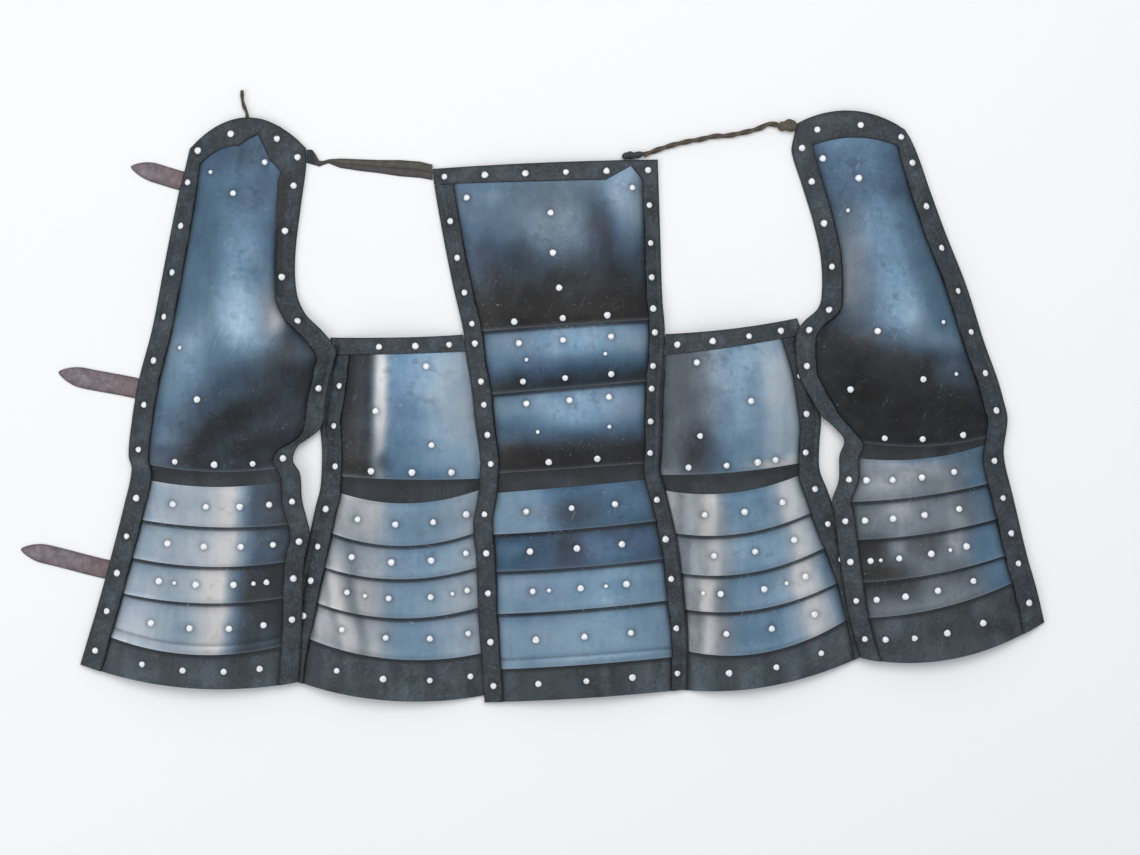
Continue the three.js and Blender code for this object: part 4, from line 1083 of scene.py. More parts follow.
# %% One border strip
def strip_shell(panel, suffix, cols, rows, keep, rivets, doubled=None):
    """A strip of the panel. doubled says where a second layer shows beside it, and how wide."""
    name = f"{panel.name}_border_{suffix}"
    cols, rows = np.array(cols, float), np.array(rows, float)
    base, distance = panel.surface(cols, rows)
    normal = outward(base)
    i, j = np.meshgrid(cols, rows)
    x, y = base[..., 0], base[..., 1]
    # The inner edge was cut by hand, so it wanders a little.
    inner_l, inner_r = np.exp(-(((i - 3) / 0.4) ** 2)), np.exp(-(((i - LINES + 3) / 0.4) ** 2))
    wave = 0.8 * noise(x, y, 13) + 0.5 * noise(x, y, 5)
    shift = wave * (inner_l * (i <= 3) - inner_r * (i >= LINES - 3)) * (j > 1.02)
    under_layer = np.zeros_like(x)
    if doubled:
        high_end, low_end, reach = doubled
        span = np.clip((high_end - y) / 10, 0, 1) * np.clip((y - low_end) / 3, 0, 1) ** 0.5
        shift = shift - reach * span * inner_r * (i >= LINES - 3)
        under_layer = span * np.clip((panel.width(rows)[:, None] - distance - 16) / 1.2, 0, 1)
    base[..., 0] += shift
    # It is thin at both edges, pulled down at the rivets and swollen between them.
    outer, inner = strip_edges(panel, rows, j, distance)
    near = round_rivets(x, y, rivets, 1.7)
    swell = 0.45 * noise(x, y, 24) + 0.25 * noise(x, y, 9)
    middle = np.clip(np.minimum(outer, inner + 2) / 9, 0, 1)
    clear = panel.clear(rows)[:, None] + np.zeros_like(x)
    cut_edge = np.clip(inner, 0, 50)
    over = clear + BORDER * (1 - 0.55 * np.exp(-outer / 1.5) - 0.4 * np.exp(-cut_edge / 0.9))
    over += np.clip(swell * middle, -0.5, 0.6) - 0.55 * near - 0.9 * under_layer
    high = base + normal * over[..., None]
    # Its underside lies on the panel, and folds down where it stands free.
    flat_low = base + normal * clear[..., None]
    rim_low = base.copy()
    rim_low[..., 2] = np.maximum(base[..., 2] - RIM_DROP, 0)
    fold = folded_rim(panel, i, j)
    low = flat_low * (1 - fold) + rim_low * fold
    cells = np.array([[keep(a, b) for a in cols[:-1]] for b in rows[:-1]], bool)
    # The shade field is painted shade round the rivets and on the sunk layer beside the arm strip.
    fields = {
        "shade": np.clip(0.9 * near + 0.8 * under_layer, 0, 1),
        "edge": np.clip(np.exp(-outer / 3.0) + 0.9 * np.exp(-cut_edge / 2.2), 0, 1),
    }
    points, both = two_faces(high, low, fields)
    area, width = float(cell_areas(high)[cells].sum()), sum(panel.borders) / 2 + RIM
    pieces[name] = {
        "object": make_mesh(name, points, shell_faces(cells), both),
        "rivets": rivets, "kind": "border", "panel": panel, "cut": (width, area / width, area),
    }


print("widths of the borders, mm:", [sum(p.borders) / 2 for p in (back_l, side_l, front)])

# %% Helpers for a strip's rows and columns
STRIP_STEP = 3.0  # millimetres between the rows and columns of a strip


def strip_rows(panel, first, last):
    return list(fine_rows(panel, first, last, STRIP_STEP))


def top_cols(panel, first, last):
    return list(fine_cols(panel, first, last, STRIP_STEP))


def waist_row(panel):
    """The row where the last piece above the skirt ends."""
    return [j for j in panel.ends if j < panel.start][-1]


print("waist rows:", [waist_row(panel) for panel in (back_l, side_l, front, side_r, back_r)])

# %% The borders of the left back half
waist = waist_row(back_l)
right_cols = STRIP_COLS["right"]
column = back_l.notch["column"]
strip_shell(
    back_l, "outer",
    STRIP_COLS["left"] + top_cols(back_l, 3, column - SEAM)[1:],
    TOP_ROWS + strip_rows(back_l, 1, back_l.last),
    lambda a, b: a < 3 or b < 1,
    top_rivets(back_l, [0.1], 0.34) + top_rivets(back_l, [0.39])
    + at_heights(back_l, "left", [677, 619, 559, 501, 444, 387, 329])
    + skirt_rivets(back_l, "left", True),
)
strip_shell(
    back_l, "arm",
    top_cols(back_l, column, LINES - 3)[:-1] + right_cols,
    TOP_ROWS + strip_rows(back_l, 1, waist - WAIST_SEAM),
    lambda a, b: a >= LINES - 3 or b < 1,
    top_rivets(back_l, [0.76, 0.93], 0.36)
    + rivets_at([(356, 671), (345, 612), (341, 552), (362, 495)])
    + along_border(back_l, "right", 7.5, waist - 1, 2),
    doubled=(688, 525, 4.5),
)
strip_shell(
    back_l, "skirt", right_cols, strip_rows(back_l, waist, back_l.last), lambda a, b: True,
    skirt_rivets(back_l, "right", False),
)
print("left back half borders: 3")

# %% The borders of the two sides
for panel, side, shares in (
    (side_l, "left", [0.36, 0.62, 0.86]),
    (side_r, "right", [0.12, 0.37, 0.63, 0.86]),
):
    waist = waist_row(panel)
    if side == "left":
        across = STRIP_COLS["left"][:-1] + top_cols(panel, 3, LINES - 2)
    else:
        across = top_cols(panel, 2, LINES - 3)[:-1] + right_cols
    strip_shell(panel, "top", across, TOP_ROWS, lambda a, b: True, top_rivets(panel, shares))
    strip_shell(
        panel, "outer", STRIP_COLS[side], strip_rows(panel, 1, panel.last), lambda a, b: True,
        along_border(panel, side, 2, waist - 1, 3, SIDE_LINE) + skirt_rivets(panel, side, False),
    )
print("side borders: 4")

# %% The borders of the front
column = front.notch["column"]
strip_shell(
    front, "top", STRIP_COLS["left"] + top_cols(front, 3, column - SEAM)[1:], TOP_ROWS,
    lambda a, b: True, top_rivets(front, [0.05, 0.23, 0.41, 0.59, 0.77]),
)
strip_shell(
    front, "l", STRIP_COLS["left"], strip_rows(front, 1, front.last), lambda a, b: True,
    at_heights(front, "left", [627, 578, 533, 492, 466, 418, 388, 348, 311])
    + skirt_rivets(front, "left", True),
)
strip_shell(
    front, "r", top_cols(front, column, LINES - 3)[:-1] + right_cols,
    TOP_ROWS + strip_rows(front, 1, front.last), lambda a, b: a >= LINES - 3 or b < 1,
    at_heights(front, "right", [692, 647, 597, 553, 512, 481, 437, 408, 366, 326])
    + skirt_rivets(front, "right", True),
)
print("front borders: 3")

# %% The borders of the right back half
waist = waist_row(back_r)
strip_shell(
    back_r, "arm",
    STRIP_COLS["left"] + top_cols(back_r, 3, LINES - 3 - SEAM)[1:],
    TOP_ROWS + strip_rows(back_r, 1, waist - WAIST_SEAM), lambda a, b: a < 3 or b < 1,
    top_rivets(back_r, [0.2, 0.56]) + at_heights(back_r, "left", [720, 678, 623, 567, 511])
    + along_border(back_r, "left", 5.8, 6.6, 2),
)
strip_shell(
    back_r, "outer", right_cols, TOP_ROWS + strip_rows(back_r, 1, back_r.last), lambda a, b: True,
    top_rivets(back_r, [0.9]) + at_heights(back_r, "right", [701, 646, 591, 535, 481, 429, 379])
    + skirt_rivets(back_r, "right", True),
)
strip_shell(
    back_r, "skirt", STRIP_COLS["left"], strip_rows(back_r, waist, back_r.last), lambda a, b: True,
    skirt_rivets(back_r, "left", True),
)
print("right back half borders: 3, pieces so far", len(pieces))

# %% [markdown]
# ## Rivet heads
# More than 260 low domes hold the armour together. Each was closed by hand, so no two are quite
# alike. Copies of one sphere would look stamped, so each head is drawn with its own width,
# height and slightly uneven round. A ray straight down finds where it sits and how the piece
# leans there. The heads of one panel are one mesh, because nobody moves them one by one.

# %% One dome
RIVET_SIDES, RIVET_RINGS = 14, 4
RIVET_RISE = 0.5  # of the radius
RIVET_SINK = 0.5  # millimetres that a head goes into its piece, so that no gap shows


def add_dome(points, faces, seat, lean, radius, draw):
    """Adds one head: rings that close to a point on top, and a foot inside the piece."""
    turn = lean.to_track_quat("Z", "Y")
    wide = radius * (1 + 0.09 * draw.uniform(-1, 1)) * MM
    rise = wide * RIVET_RISE * (1 + 0.15 * draw.uniform(-1, 1))
    spin, beat = draw.uniform(0, math.tau), 0.06 * draw.uniform(0, 1)
    first, sink = len(points), RIVET_SINK * MM
    for ring in range(RIVET_RINGS):
        t = ring / RIVET_RINGS
        for k in range(RIVET_SIDES):
            angle = math.tau * k / RIVET_SIDES
            reach = wide * math.cos(t * math.pi / 2) ** 0.75
            reach *= 1 + beat * math.cos(3 * angle + spin)
            up = rise * math.sin(t * math.pi / 2) - (sink if ring == 0 else 0)
            local = Vector((reach * math.cos(angle), reach * math.sin(angle), up))
            points.append(seat + turn @ local)
    points.append(seat + turn @ Vector((0, 0, rise)))
    points.append(seat + turn @ Vector((0, 0, -sink)))
    top, foot = len(points) - 2, len(points) - 1
    for k in range(RIVET_SIDES):
        n = (k + 1) % RIVET_SIDES
        for ring in range(RIVET_RINGS - 1):
            a, b = first + ring * RIVET_SIDES, first + (ring + 1) * RIVET_SIDES
            faces.append((a + k, a + n, b + n, b + k))
        faces.append((b + k, b + n, top))
        faces.append((first + n, first + k, foot))


print("points of one head:", RIVET_SIDES * RIVET_RINGS + 2)

# %% A dome for each rivet
RAY_START = 0.2  # metres, above everything


def rivet_heads(name, panel, draw):
    points, faces = [], []
    for piece in pieces.values():
        if piece["panel"] is not panel or not piece["rivets"]:
            continue
        mesh = piece["object"].data
        corners = [v.co for v in mesh.vertices]
        tree = BVHTree.FromPolygons(corners, [p.vertices[:] for p in mesh.polygons])
        for x, y, radius in piece["rivets"]:
            fx, fy, _ = to_frame([x, y, 0])
            seat, lean, *_ = tree.ray_cast(Vector((fx, fy, RAY_START)), Vector((0, 0, -1)))
            if seat is None:
                raise RuntimeError(f"{piece['object'].name} has no seat at {x}, {y}")
            add_dome(points, faces, seat, lean, radius, draw)
    mesh = bpy.data.meshes.new(name)
    mesh.from_pydata(points, [], faces)
    mesh.shade_smooth()
    return in_scene(name, mesh)


draw = np.random.default_rng(3)
rivets = [
    rivet_heads(f"{panel.name}_rivets", panel, draw)
    for panel in (back_l, side_l, front, side_r, back_r)
]
print("rivets:", sum(len(piece["rivets"]) for piece in pieces.values()))

# %% [markdown]
# ## Strap tongues
# Three straps come from under the left edge and lie on the floor. They closed the armour at the
# side. Cloth simulation would lay them down too, but thick leather keeps its own slight wave, so
# a tongue is a flat lattice whose width closes to a point at its tip, with soft edges.

# %% The three tongues
STRAP_WIDTH = 24.0
TIP_LENGTH = 34.0  # over which a tongue opens to its full width
SOFT_WIDTH = 22.0  # the width over which its edges count as near
STRAP_ROOT = 0.5  # millimetres that a tongue ends outside the panel's edge


def area_under(height, along):
    """The area between a line of heights and its base."""
    return float((np.diff(along) * (height[1:] + height[:-1]) / 2).sum())


def strap_tongue(name, tip, root_top, root_bottom, wave):
    """A tongue from its tip to the two corners of its root."""
    t = np.concatenate([np.linspace(0, 0.2, 12)[:-1], np.linspace(0.2, 1, 26)])
    v = np.array([0, 0.04, 0.12, 0.3, 0.5, 0.7, 0.88, 0.96, 1])
    root = (np.array(root_top) + np.array(root_bottom)) / 2
    line = np.array(tip)[None] * (1 - t[:, None]) + root[None] * t[:, None]
    half_root = (np.array(root_top) - np.array(root_bottom)) / 2
    length = np.linalg.norm(root - np.array(tip))
    swell = np.clip(np.sin(np.clip(t * length / TIP_LENGTH, 0, 1) * math.pi / 2), 0, 1) ** 0.7
    side = (1 - 2 * v)[None, :, None] * half_root[None, None] * swell[:, None, None]
    flat = line[:, None] + side + wave * np.sin(t * 5)[:, None, None] * np.array([0, 1.0])
    low = np.concatenate([flat, np.zeros((*flat.shape[:2], 1))], axis=-1)
    high = low.copy()
    across = np.minimum(v, 1 - v)[None] * SOFT_WIDTH * swell[:, None]
    high[..., 2] = BORDER * (1 - 0.6 * np.exp(-across / 1.1))
    high[..., 2] += 0.12 * noise(flat[..., 0], flat[..., 1], 14)
    even = np.zeros((len(t), len(v)))
    red = np.clip((t - 0.55) / 0.4, 0, 1)[:, None]
    points, fields = two_faces(high, low, {"edge": np.exp(-across / 2.2) + even, "shade": red + even})
    faces = shell_faces(np.ones((len(t) - 1, len(v) - 1), bool))
    area = length * 2 * np.linalg.norm(half_root) * area_under(swell, t)
    pieces[name] = {
        "object": make_mesh(name, points, faces[:, ::-1], fields),
        "rivets": [], "kind": "strap", "cut": (STRAP_WIDTH, area / STRAP_WIDTH, area),
    }


for name, tip, high_root, low_root, wave in (
    ("strap_top", (144, 696), 690, 666, 0.6),
    ("strap_middle", (50, 429), 420, 394, -0.8),
    ("strap_low", (1, 199), 185, 161, 0.8),
):
    roots = [(float(back_l.left(y)) - STRAP_ROOT, y) for y in (high_root, low_root)]
    strap_tongue(name, tip, *roots, wave)
print("strap tongues: 3")

# %% [markdown]
# ## Shoulder strap
# A flat strap runs from the front's left corner to the left shoulder, tapers, and is tied there
# with a thin end. It is folded along its length, so its upper half is a little thicker. A plane
# with a solidify modifier would be even all over. A table of its two edges gives the taper, and
# the fold and the soft edges come from the share of the way across.

# %% The tapering strap
SHOULDER_WIDTH = 22.0
FOLD = 0.52  # where it is folded, as a share of the way across
TIED_END = 386.0  # left of this it is the thin tied end
strap_line = np.array([
    [372.8, 701, 718], [380, 699, 718], [385, 697.5, 711], [389, 696, 703.5], [395, 698.5, 703.5],
    [401, 700.5, 705.5], [416, 694.5, 706.5], [442, 690.5, 705.5], [468, 687.5, 704.5],
    [494, 683.5, 704.5], [520, 681.5, 702.5], [536.4, 678.5, 698.5],
])
along = np.linspace(strap_line[0, 0], strap_line[-1, 0], 90)
edge_low = np.interp(along, strap_line[:, 0], strap_line[:, 1])
edge_high = np.interp(along, strap_line[:, 0], strap_line[:, 2])
v = np.array([0, 0.04, 0.12, 0.3, 0.46, FOLD, 0.58, 0.75, 0.9, 0.97, 1])
strap_y = edge_low[:, None] * v[None] + edge_high[:, None] * (1 - v[None])
strap_x = along[:, None] + 0 * strap_y
strap_thick = 2.1 + 0.8 / (1 + np.exp((v[None] - FOLD) * 30)) + 0.15 * noise(strap_x, strap_y, 11)
from_edge = np.minimum(v, 1 - v)[None] * (edge_high - edge_low)[:, None]
strap_thick = strap_thick * (1 - 0.55 * np.exp(-from_edge / 1.1))
high = np.stack([strap_x, strap_y, strap_thick], -1)
low = np.stack([strap_x, strap_y, 0 * strap_thick], -1)
# Painted shade along the fold, carried in the edge field with the dark edges.
crease = np.exp(-((v[None] - FOLD) / 0.05) ** 2) + 0 * strap_y
points, fields = two_faces(high, low, {
    "edge": np.clip(np.exp(-from_edge / 1.6) + crease, 0, 1),
    "shade": np.clip(v[None] * 1.4 - 0.5 + 0 * strap_y, 0, 1),
    "ear": np.clip((TIED_END - strap_x) / 4, 0, 1),
})
faces = shell_faces(np.ones((len(along) - 1, len(v) - 1), bool))
strap_area = area_under(edge_high - edge_low, along)
pieces["shoulder_strap"] = {
    "object": make_mesh("shoulder_strap", points, faces[:, ::-1], fields),
    "rivets": [], "kind": "strap",
    "cut": (SHOULDER_WIDTH, strap_area / SHOULDER_WIDTH, strap_area),
}
print("shoulder strap area, mm2:", round(strap_area))

# %% [markdown]
# ## Thongs
# On the right a thong joins the front to the shoulder, and a loose end shows on the left one. It
# is two strands twisted together. Two thin curves wound round each other would do, but they touch
# all along. So its section is one lobed shape that turns as it goes, swept along a smooth route,
# and the same route says how long the cord is.


# %% A smooth route
def smooth_route(points, count):
    """A Catmull-Rom line through the points, in table millimetres."""
    p = np.array(points, float)
    p = np.concatenate([[2 * p[0] - p[1]], p, [2 * p[-1] - p[-2]]])
    out = []
    for u in np.linspace(0, len(points) - 1, count):
        k = min(int(u), len(points) - 2)
        t = u - k
        a, b, c, d = p[k], p[k + 1], p[k + 2], p[k + 3]
        out.append(0.5 * (2 * b + (c - a) * t + (2 * a - 5 * b + 4 * c - d) * t * t
                          + (3 * b - a - 3 * c + d) * t**3))
    return np.array(out)


print("a route through 3 points, in 5 steps:", len(smooth_route([[0, 0], [1, 1], [2, 0]], 5)), "points")

# %% A twisted tube
TUBE_SIDES = 16
FLOOR_CLEAR = 0.05  # millimetres that the lowest points stay above the floor


def twisted_tube(name, route, radius, twist):
    """A closed tube with a two-lobed section. twist is in radians a millimetre."""
    tangent = np.gradient(route, axis=0)
    tangent /= np.linalg.norm(tangent, axis=1, keepdims=True)
    side = np.cross(tangent, [0, 0, 1.0])
    side /= np.linalg.norm(side, axis=1, keepdims=True)
    up = np.cross(side, tangent)
    gone = np.concatenate([[0], np.cumsum(np.linalg.norm(np.diff(route, axis=0), axis=1))])
    angle = np.linspace(0, math.tau, TUBE_SIDES, endpoint=False)
    lobe = np.cos(2 * (angle[None] - twist * gone[:, None]))
    rough = noise(gone[:, None] + 0 * angle, 9 * angle[None] + 0 * gone[:, None], 5)
    reach = radius * (0.86 + 0.14 * lobe + 0.04 * rough)
    cos, sin = np.cos(angle)[None, :, None], np.sin(angle)[None, :, None]
    ring = reach[..., None] * (cos * side[:, None] + sin * up[:, None])
    points = (route[:, None] + ring).reshape(-1, 3)
    points[:, 2] = np.maximum(points[:, 2], FLOOR_CLEAR)
    faces = []
    for a in range(0, (len(route) - 1) * TUBE_SIDES, TUBE_SIDES):
        for k in range(TUBE_SIDES):
            n = (k + 1) % TUBE_SIDES
            faces.append((a + k, a + n, a + TUBE_SIDES + n, a + TUBE_SIDES + k))
    last = (len(route) - 1) * TUBE_SIDES
    faces.append(tuple(range(TUBE_SIDES - 1, -1, -1)))
    faces.append(tuple(range(last, last + TUBE_SIDES)))
    mesh = bpy.data.meshes.new(name)
    mesh.from_pydata(to_frame(points).tolist(), [], faces)
    mesh.validate()
    # Painted shade in the groove between the two strands.
    groove = mesh.attributes.new("edge", "FLOAT", "POINT")
    groove.data.foreach_set("value", np.clip(0.5 - 0.5 * lobe, 0, 1).astype(np.float32).ravel())
    mesh.shade_smooth()
    return in_scene(f"{name}_fine", mesh), float(gone[-1]) * MM


print("sides of a thong:", TUBE_SIDES)

# %% The two thongs
THONG_RADIUS, LOOSE_RADIUS = 3.6, 2.5
thong_route = smooth_route([
    [810.4, 711, 3.8], [822, 715, 3.8], [836, 720, 3.7], [853, 725, 3.7], [871, 729, 3.7],
    [884, 731, 3.7], [901, 735, 3.7], [920, 736, 3.7], [936, 739, 3.7], [949, 742, 3.8],
    [962, 746, 3.8], [973, 751, 3.9], [985, 750, 4],
], 150)
loose_route = smooth_route([
    [296, 759.2, 2.6], [295, 766, 2.6], [292, 773, 2.6], [290, 780, 2.6], [289, 788, 2.6],
    [289, 795, 2.6],
], 40)
shoulder_thong, thong_length = twisted_tube("shoulder_thong", thong_route, THONG_RADIUS, 0.16)
loose_thong, loose_length = twisted_tube("loose_thong", loose_route, LOOSE_RADIUS, 0.2)
print("thong lengths, m:", round(thong_length, 4), round(loose_length, 4))

# %% [markdown]
# ## Knots
# At each end of the thong is a small tight knot. Its turns can hardly be told apart, so a true
# knotted curve would be work that nobody sees. A knot is a few egg-shaped lobes, laid over each
# other and melted into one with a voxel remesh, and then smoothed.

# %% The lobes of a knot
LOBE_RINGS, LOBE_SIDES = 10, 18


def add_lobe(points, faces, x, y, z, rx, ry, rz, turn):
    """Adds one egg at x, y, z with these half sizes, turned by some degrees."""
    c, s = math.cos(math.radians(turn)), math.sin(math.radians(turn))
    first = len(points)
    for a in range(LOBE_RINGS + 1):
        tilt = math.pi * a / LOBE_RINGS
        for k in range(LOBE_SIDES):
            spin = math.tau * k / LOBE_SIDES
            lx, ly = rx * math.sin(tilt) * math.cos(spin), ry * math.sin(tilt) * math.sin(spin)
            points.append((x + lx * c - ly * s, y + lx * s + ly * c, z + rz * math.cos(tilt)))
    for a in range(first, first + LOBE_RINGS * LOBE_SIDES, LOBE_SIDES):
        b = a + LOBE_SIDES
        for k in range(LOBE_SIDES):
            n = (k + 1) % LOBE_SIDES
            faces.append((a + k, b + k, b + n, a + n))


print("points of one lobe:", (LOBE_RINGS + 1) * LOBE_SIDES)

# %% The two knots
MELT_VOXEL, MELT_PASSES = 0.7, 3  # millimetres, and how often the lump is smoothed


def knot(name, lobes, black):
    """Lobes melted into one soft lump. black is how much of the black dye it took."""
    points, faces = [], []
    for lobe in lobes:
        add_lobe(points, faces, *lobe)
    mesh = bpy.data.meshes.new(name)
    mesh.from_pydata(to_frame(points).tolist(), [], faces)
    lump = in_scene(f"{name}_fine", mesh)
    melt = lump.modifiers.new("melt", "REMESH")
    melt.mode, melt.voxel_size, melt.use_smooth_shade = "VOXEL", MELT_VOXEL * MM, True
    ease = lump.modifiers.new("ease", "SMOOTH")
    ease.iterations = MELT_PASSES
    melted = bpy.data.meshes.new_from_object(lump.evaluated_get(bpy.context.evaluated_depsgraph_get()))
    lump.modifiers.clear()
    lump.data = melted
    for vertex in melted.vertices:
        vertex.co.z = max(vertex.co.z, 0.0)
    dyed = melted.attributes.new("black", "FLOAT", "POINT")
    dyed.data.foreach_set("value", np.full(len(melted.vertices), black, np.float32))
    melted.shade_smooth()
    return lump


knot_front = knot("thong_knot_front", [
    (788, 709.8, 4.4, 6, 4.6, 4.4, 20), (795, 710.6, 6.4, 6.5, 4.2, 4.2, -35),
    (802.5, 711, 4.4, 9, 4.4, 4.4, 12), (795, 709.6, 3.4, 10, 4, 3.4, 3),
], black=0.85)
knot_back = knot("thong_knot_back", [
    (991, 748, 5, 7, 6.5, 5, 0), (998, 752, 6.6, 7, 5, 4.8, 30), (1000, 745.5, 6, 8, 4.6, 5, -15),
    (1004, 749, 5, 6, 7.4, 5, 0),
], black=0.2)
print("knots:", len(knot_front.data.vertices), len(knot_back.data.vertices), "points")

# %% [markdown]
# ## Finishes
# Every finish is a small node tree. It could be wired by hand in the shader editor, but a helper
# keeps each finish short enough to read. The meshes carry what the tables give, such as the
# steel's tone with its painted reflections, the painted shade beside a border and the painted
# highlight on a lower edge, and the nodes add what is too fine to model: scratches, grain, scuffs
# and uneven gloss.

# %% Colours as a paint shop gives them
SCREEN_GAMMA = 2.2


def linear(red, green, blue):
    """A colour as a paint shop gives it, 0 to 255, in the light values that shaders use."""
    channel = lambda c: (c / 255) ** SCREEN_GAMMA
    return (channel(red), channel(green), channel(blue), 1.0)


print("middle grey in light values:", round(linear(128, 128, 128)[0], 3))


# %% The nodes of one finish
class Nodes:
    """A material with its node tree."""

    def __init__(self, name):
        self.material = bpy.data.materials.new(name)
        self.material.use_nodes = True
        self.tree = self.material.node_tree
        self.shader = self.tree.nodes["Principled BSDF"]
        self.place = self.add("ShaderNodeTexCoord").outputs["Object"]

    def add(self, kind):
        return self.tree.nodes.new(kind)

    def link(self, out, socket):
        self.tree.links.new(out, socket)

    def colour(self, colour):
        self.link(colour, self.shader.inputs["Base Color"])

    def roughness(self, value):
        self.link(value, self.shader.inputs["Roughness"])

    def field(self, name):
        """A value that the mesh carries at each of its points."""
        node = self.add("ShaderNodeAttribute")
        node.attribute_name = name
        return node.outputs["Fac"]


print("a finish's nodes can:", abilities(Nodes))


# %% Noise and creases
class Textures(Nodes):
    """Values that change from place to place, with their sizes in millimetres."""

    def spot(self, stretch, turn):
        """The place on the object, turned in degrees and then stretched along its own axes."""
        turned = self.add("ShaderNodeMapping")
        turned.inputs["Rotation"].default_value = (0, 0, math.radians(turn))
        self.link(self.place, turned.inputs["Vector"])
        stretched = self.add("ShaderNodeMapping")
        stretched.inputs["Scale"].default_value = stretch
        self.link(turned.outputs["Vector"], stretched.inputs["Vector"])
        return stretched.outputs["Vector"]

    def grain(self, scale, detail=4.0, rough=0.55, stretch=None, turn=0.0):
        """Noise in millimetres: scale is the size of its features."""
        place = self.spot(stretch, turn) if stretch else self.place
        node = self.add("ShaderNodeTexNoise")
        node.inputs["Scale"].default_value = 1 / (scale * MM)
        node.inputs["Detail"].default_value = detail
        node.inputs["Roughness"].default_value = rough
        self.link(place, node.inputs["Vector"])
        return node.outputs["Fac"]

    def cells(self, scale):
        """How far a point is from the borders of small cells: 0 in the creases between them."""
        node = self.add("ShaderNodeTexVoronoi")
        node.feature = "DISTANCE_TO_EDGE"
        node.inputs["Scale"].default_value = 1 / (scale * MM)
        self.link(self.place, node.inputs["Vector"])
        return node.outputs["Distance"]


print("a grain of 2 mm has a noise scale of", round(1 / (2 * MM)))


# %% Sums, colours and bumps
class Finish(Textures):
    """What is done with those values on the way to the shader."""

    def maths(self, operation, a, b, clamp=False):
        """One sum of two values, each a number or the outcome of another node."""
        node = self.add("ShaderNodeMath")
        node.operation, node.use_clamp = operation, clamp
        for socket, value in zip(node.inputs, (a, b)):
            if isinstance(value, (int, float)):
                socket.default_value = value
            else:
                self.link(value, socket)
        return node.outputs[0]

    def ramp(self, value, stops):
        """Turns a value from 0 to 1 into a colour between the stops."""
        node = self.add("ShaderNodeValToRGB")
        elements = node.color_ramp.elements
        while len(elements) < len(stops):
            elements.new(0.5)
        for element, (place, colour) in zip(elements, stops):
            element.position, element.color = place, colour
        self.link(value, node.inputs["Fac"])
        return node.outputs["Color"]

    def threshold(self, value, low, high):
        """0 below low, 1 above high, and even in between."""
        node = self.add("ShaderNodeMapRange")
        node.inputs["From Min"].default_value, node.inputs["From Max"].default_value = low, high
        self.link(value, node.inputs["Value"])
        return node.outputs["Result"]

    def mix(self, share, a, b):
        """The first colour where the share is 0, and the second where it is 1."""
        node = self.add("ShaderNodeMix")
        node.data_type = "RGBA"
        for socket, value in ((node.inputs[0], share), (node.inputs[6], a), (node.inputs[7], b)):
            if isinstance(value, (int, float, tuple)):
                socket.default_value = value
            else:
                self.link(value, socket)
        return node.outputs[2]

    def coat(self, colour, where, strength, over):
        """Lays another colour over the first, up to a strength, where a value says so."""
        return self.mix(self.maths("MULTIPLY", where, strength), colour, over)

    def bump(self, height, strength, distance):
        node = self.add("ShaderNodeBump")
        node.inputs["Strength"].default_value = strength
        node.inputs["Distance"].default_value = distance * MM
        self.link(height, node.inputs["Height"])
        self.link(node.outputs["Normal"], self.shader.inputs["Normal"])

    def range(self, value, low, high):
        """Spreads 0 to 1 over low to high."""
        return self.maths("ADD", self.maths("MULTIPLY", value, high - low), low)


print("and a finish can:", abilities(Finish))

# %% [markdown]
# ## Blued steel
# Heat gives polished steel a thin blue skin. Where it was hotter, or has worn, it is brown-black
# or pale, and the tone from the mesh also holds painted reflections and highlights of the curved
# plates. One colour with noise over it would look painted. Here that tone, with noise of three
# sizes added, runs through two colour ramps, one blue and one warm grey, and the warmth from the
# mesh chooses between them. Last come the painted shade lines and the painted highlights on the
# lower edges.

# %% Blued steel
blued = Finish("blued_steel")
tone = blued.field("tone")
cloud = blued.maths("SUBTRACT", blued.grain(34, 3), 0.5)
speckle = blued.maths("SUBTRACT", blued.grain(2.6, 3, 0.7), 0.5)
drag = blued.maths("SUBTRACT", blued.grain(9, 4, 0.6, (1.0, 0.18, 1.0)), 0.5)
uneven = blued.maths("ADD", blued.maths("MULTIPLY", cloud, 0.26), blued.maths("MULTIPLY", drag, 0.12))
uneven = blued.maths("ADD", uneven, blued.maths("MULTIPLY", speckle, 0.06))
toned = blued.maths("ADD", tone, uneven, clamp=True)
blue_steel = blued.ramp(toned, [
    (0.0, linear(30, 34, 37)), (0.2, linear(43, 53, 61)), (0.4, linear(60, 85, 107)),
    (0.6, linear(86, 116, 139)), (0.8, linear(126, 150, 169)), (1.0, linear(172, 184, 193)),
])
grey_steel = blued.ramp(toned, [
    (0.0, linear(34, 30, 28)), (0.2, linear(51, 49, 48)), (0.4, linear(74, 79, 83)),
    (0.6, linear(104, 109, 114)), (0.8, linear(142, 146, 150)), (1.0, linear(192, 189, 188)),
])
violet = blued.threshold(blued.grain(70, 2), 0.52, 0.72)
blue_steel = blued.coat(blue_steel, violet, 0.2, linear(98, 108, 146))
steel_colour = blued.mix(blued.field("warm"), blue_steel, grey_steel)
# Painted shade beside borders, under the lame above, round rivets and in the pressed grooves.
steel_colour = blued.coat(steel_colour, blued.field("shade"), 0.9, linear(20, 26, 33))
# A thin painted highlight along each lower edge.
steel_colour = blued.coat(steel_colour, blued.field("edge"), 0.55, linear(176, 186, 196))
print("blued steel, its colour:", len(blued.tree.nodes), "nodes")

# %% [markdown]
# ## What handling did to the steel
# Years of wear leave small bright flecks, thin crossed scratches and dull smudges. They could be
# modelled or painted, but they are too fine and too many. Noise that is cut off above a level
# makes the flecks, and the same noise drawn out thin and turned two ways makes the scratches.
# They are weaker on the darkest steel, as on the real one.

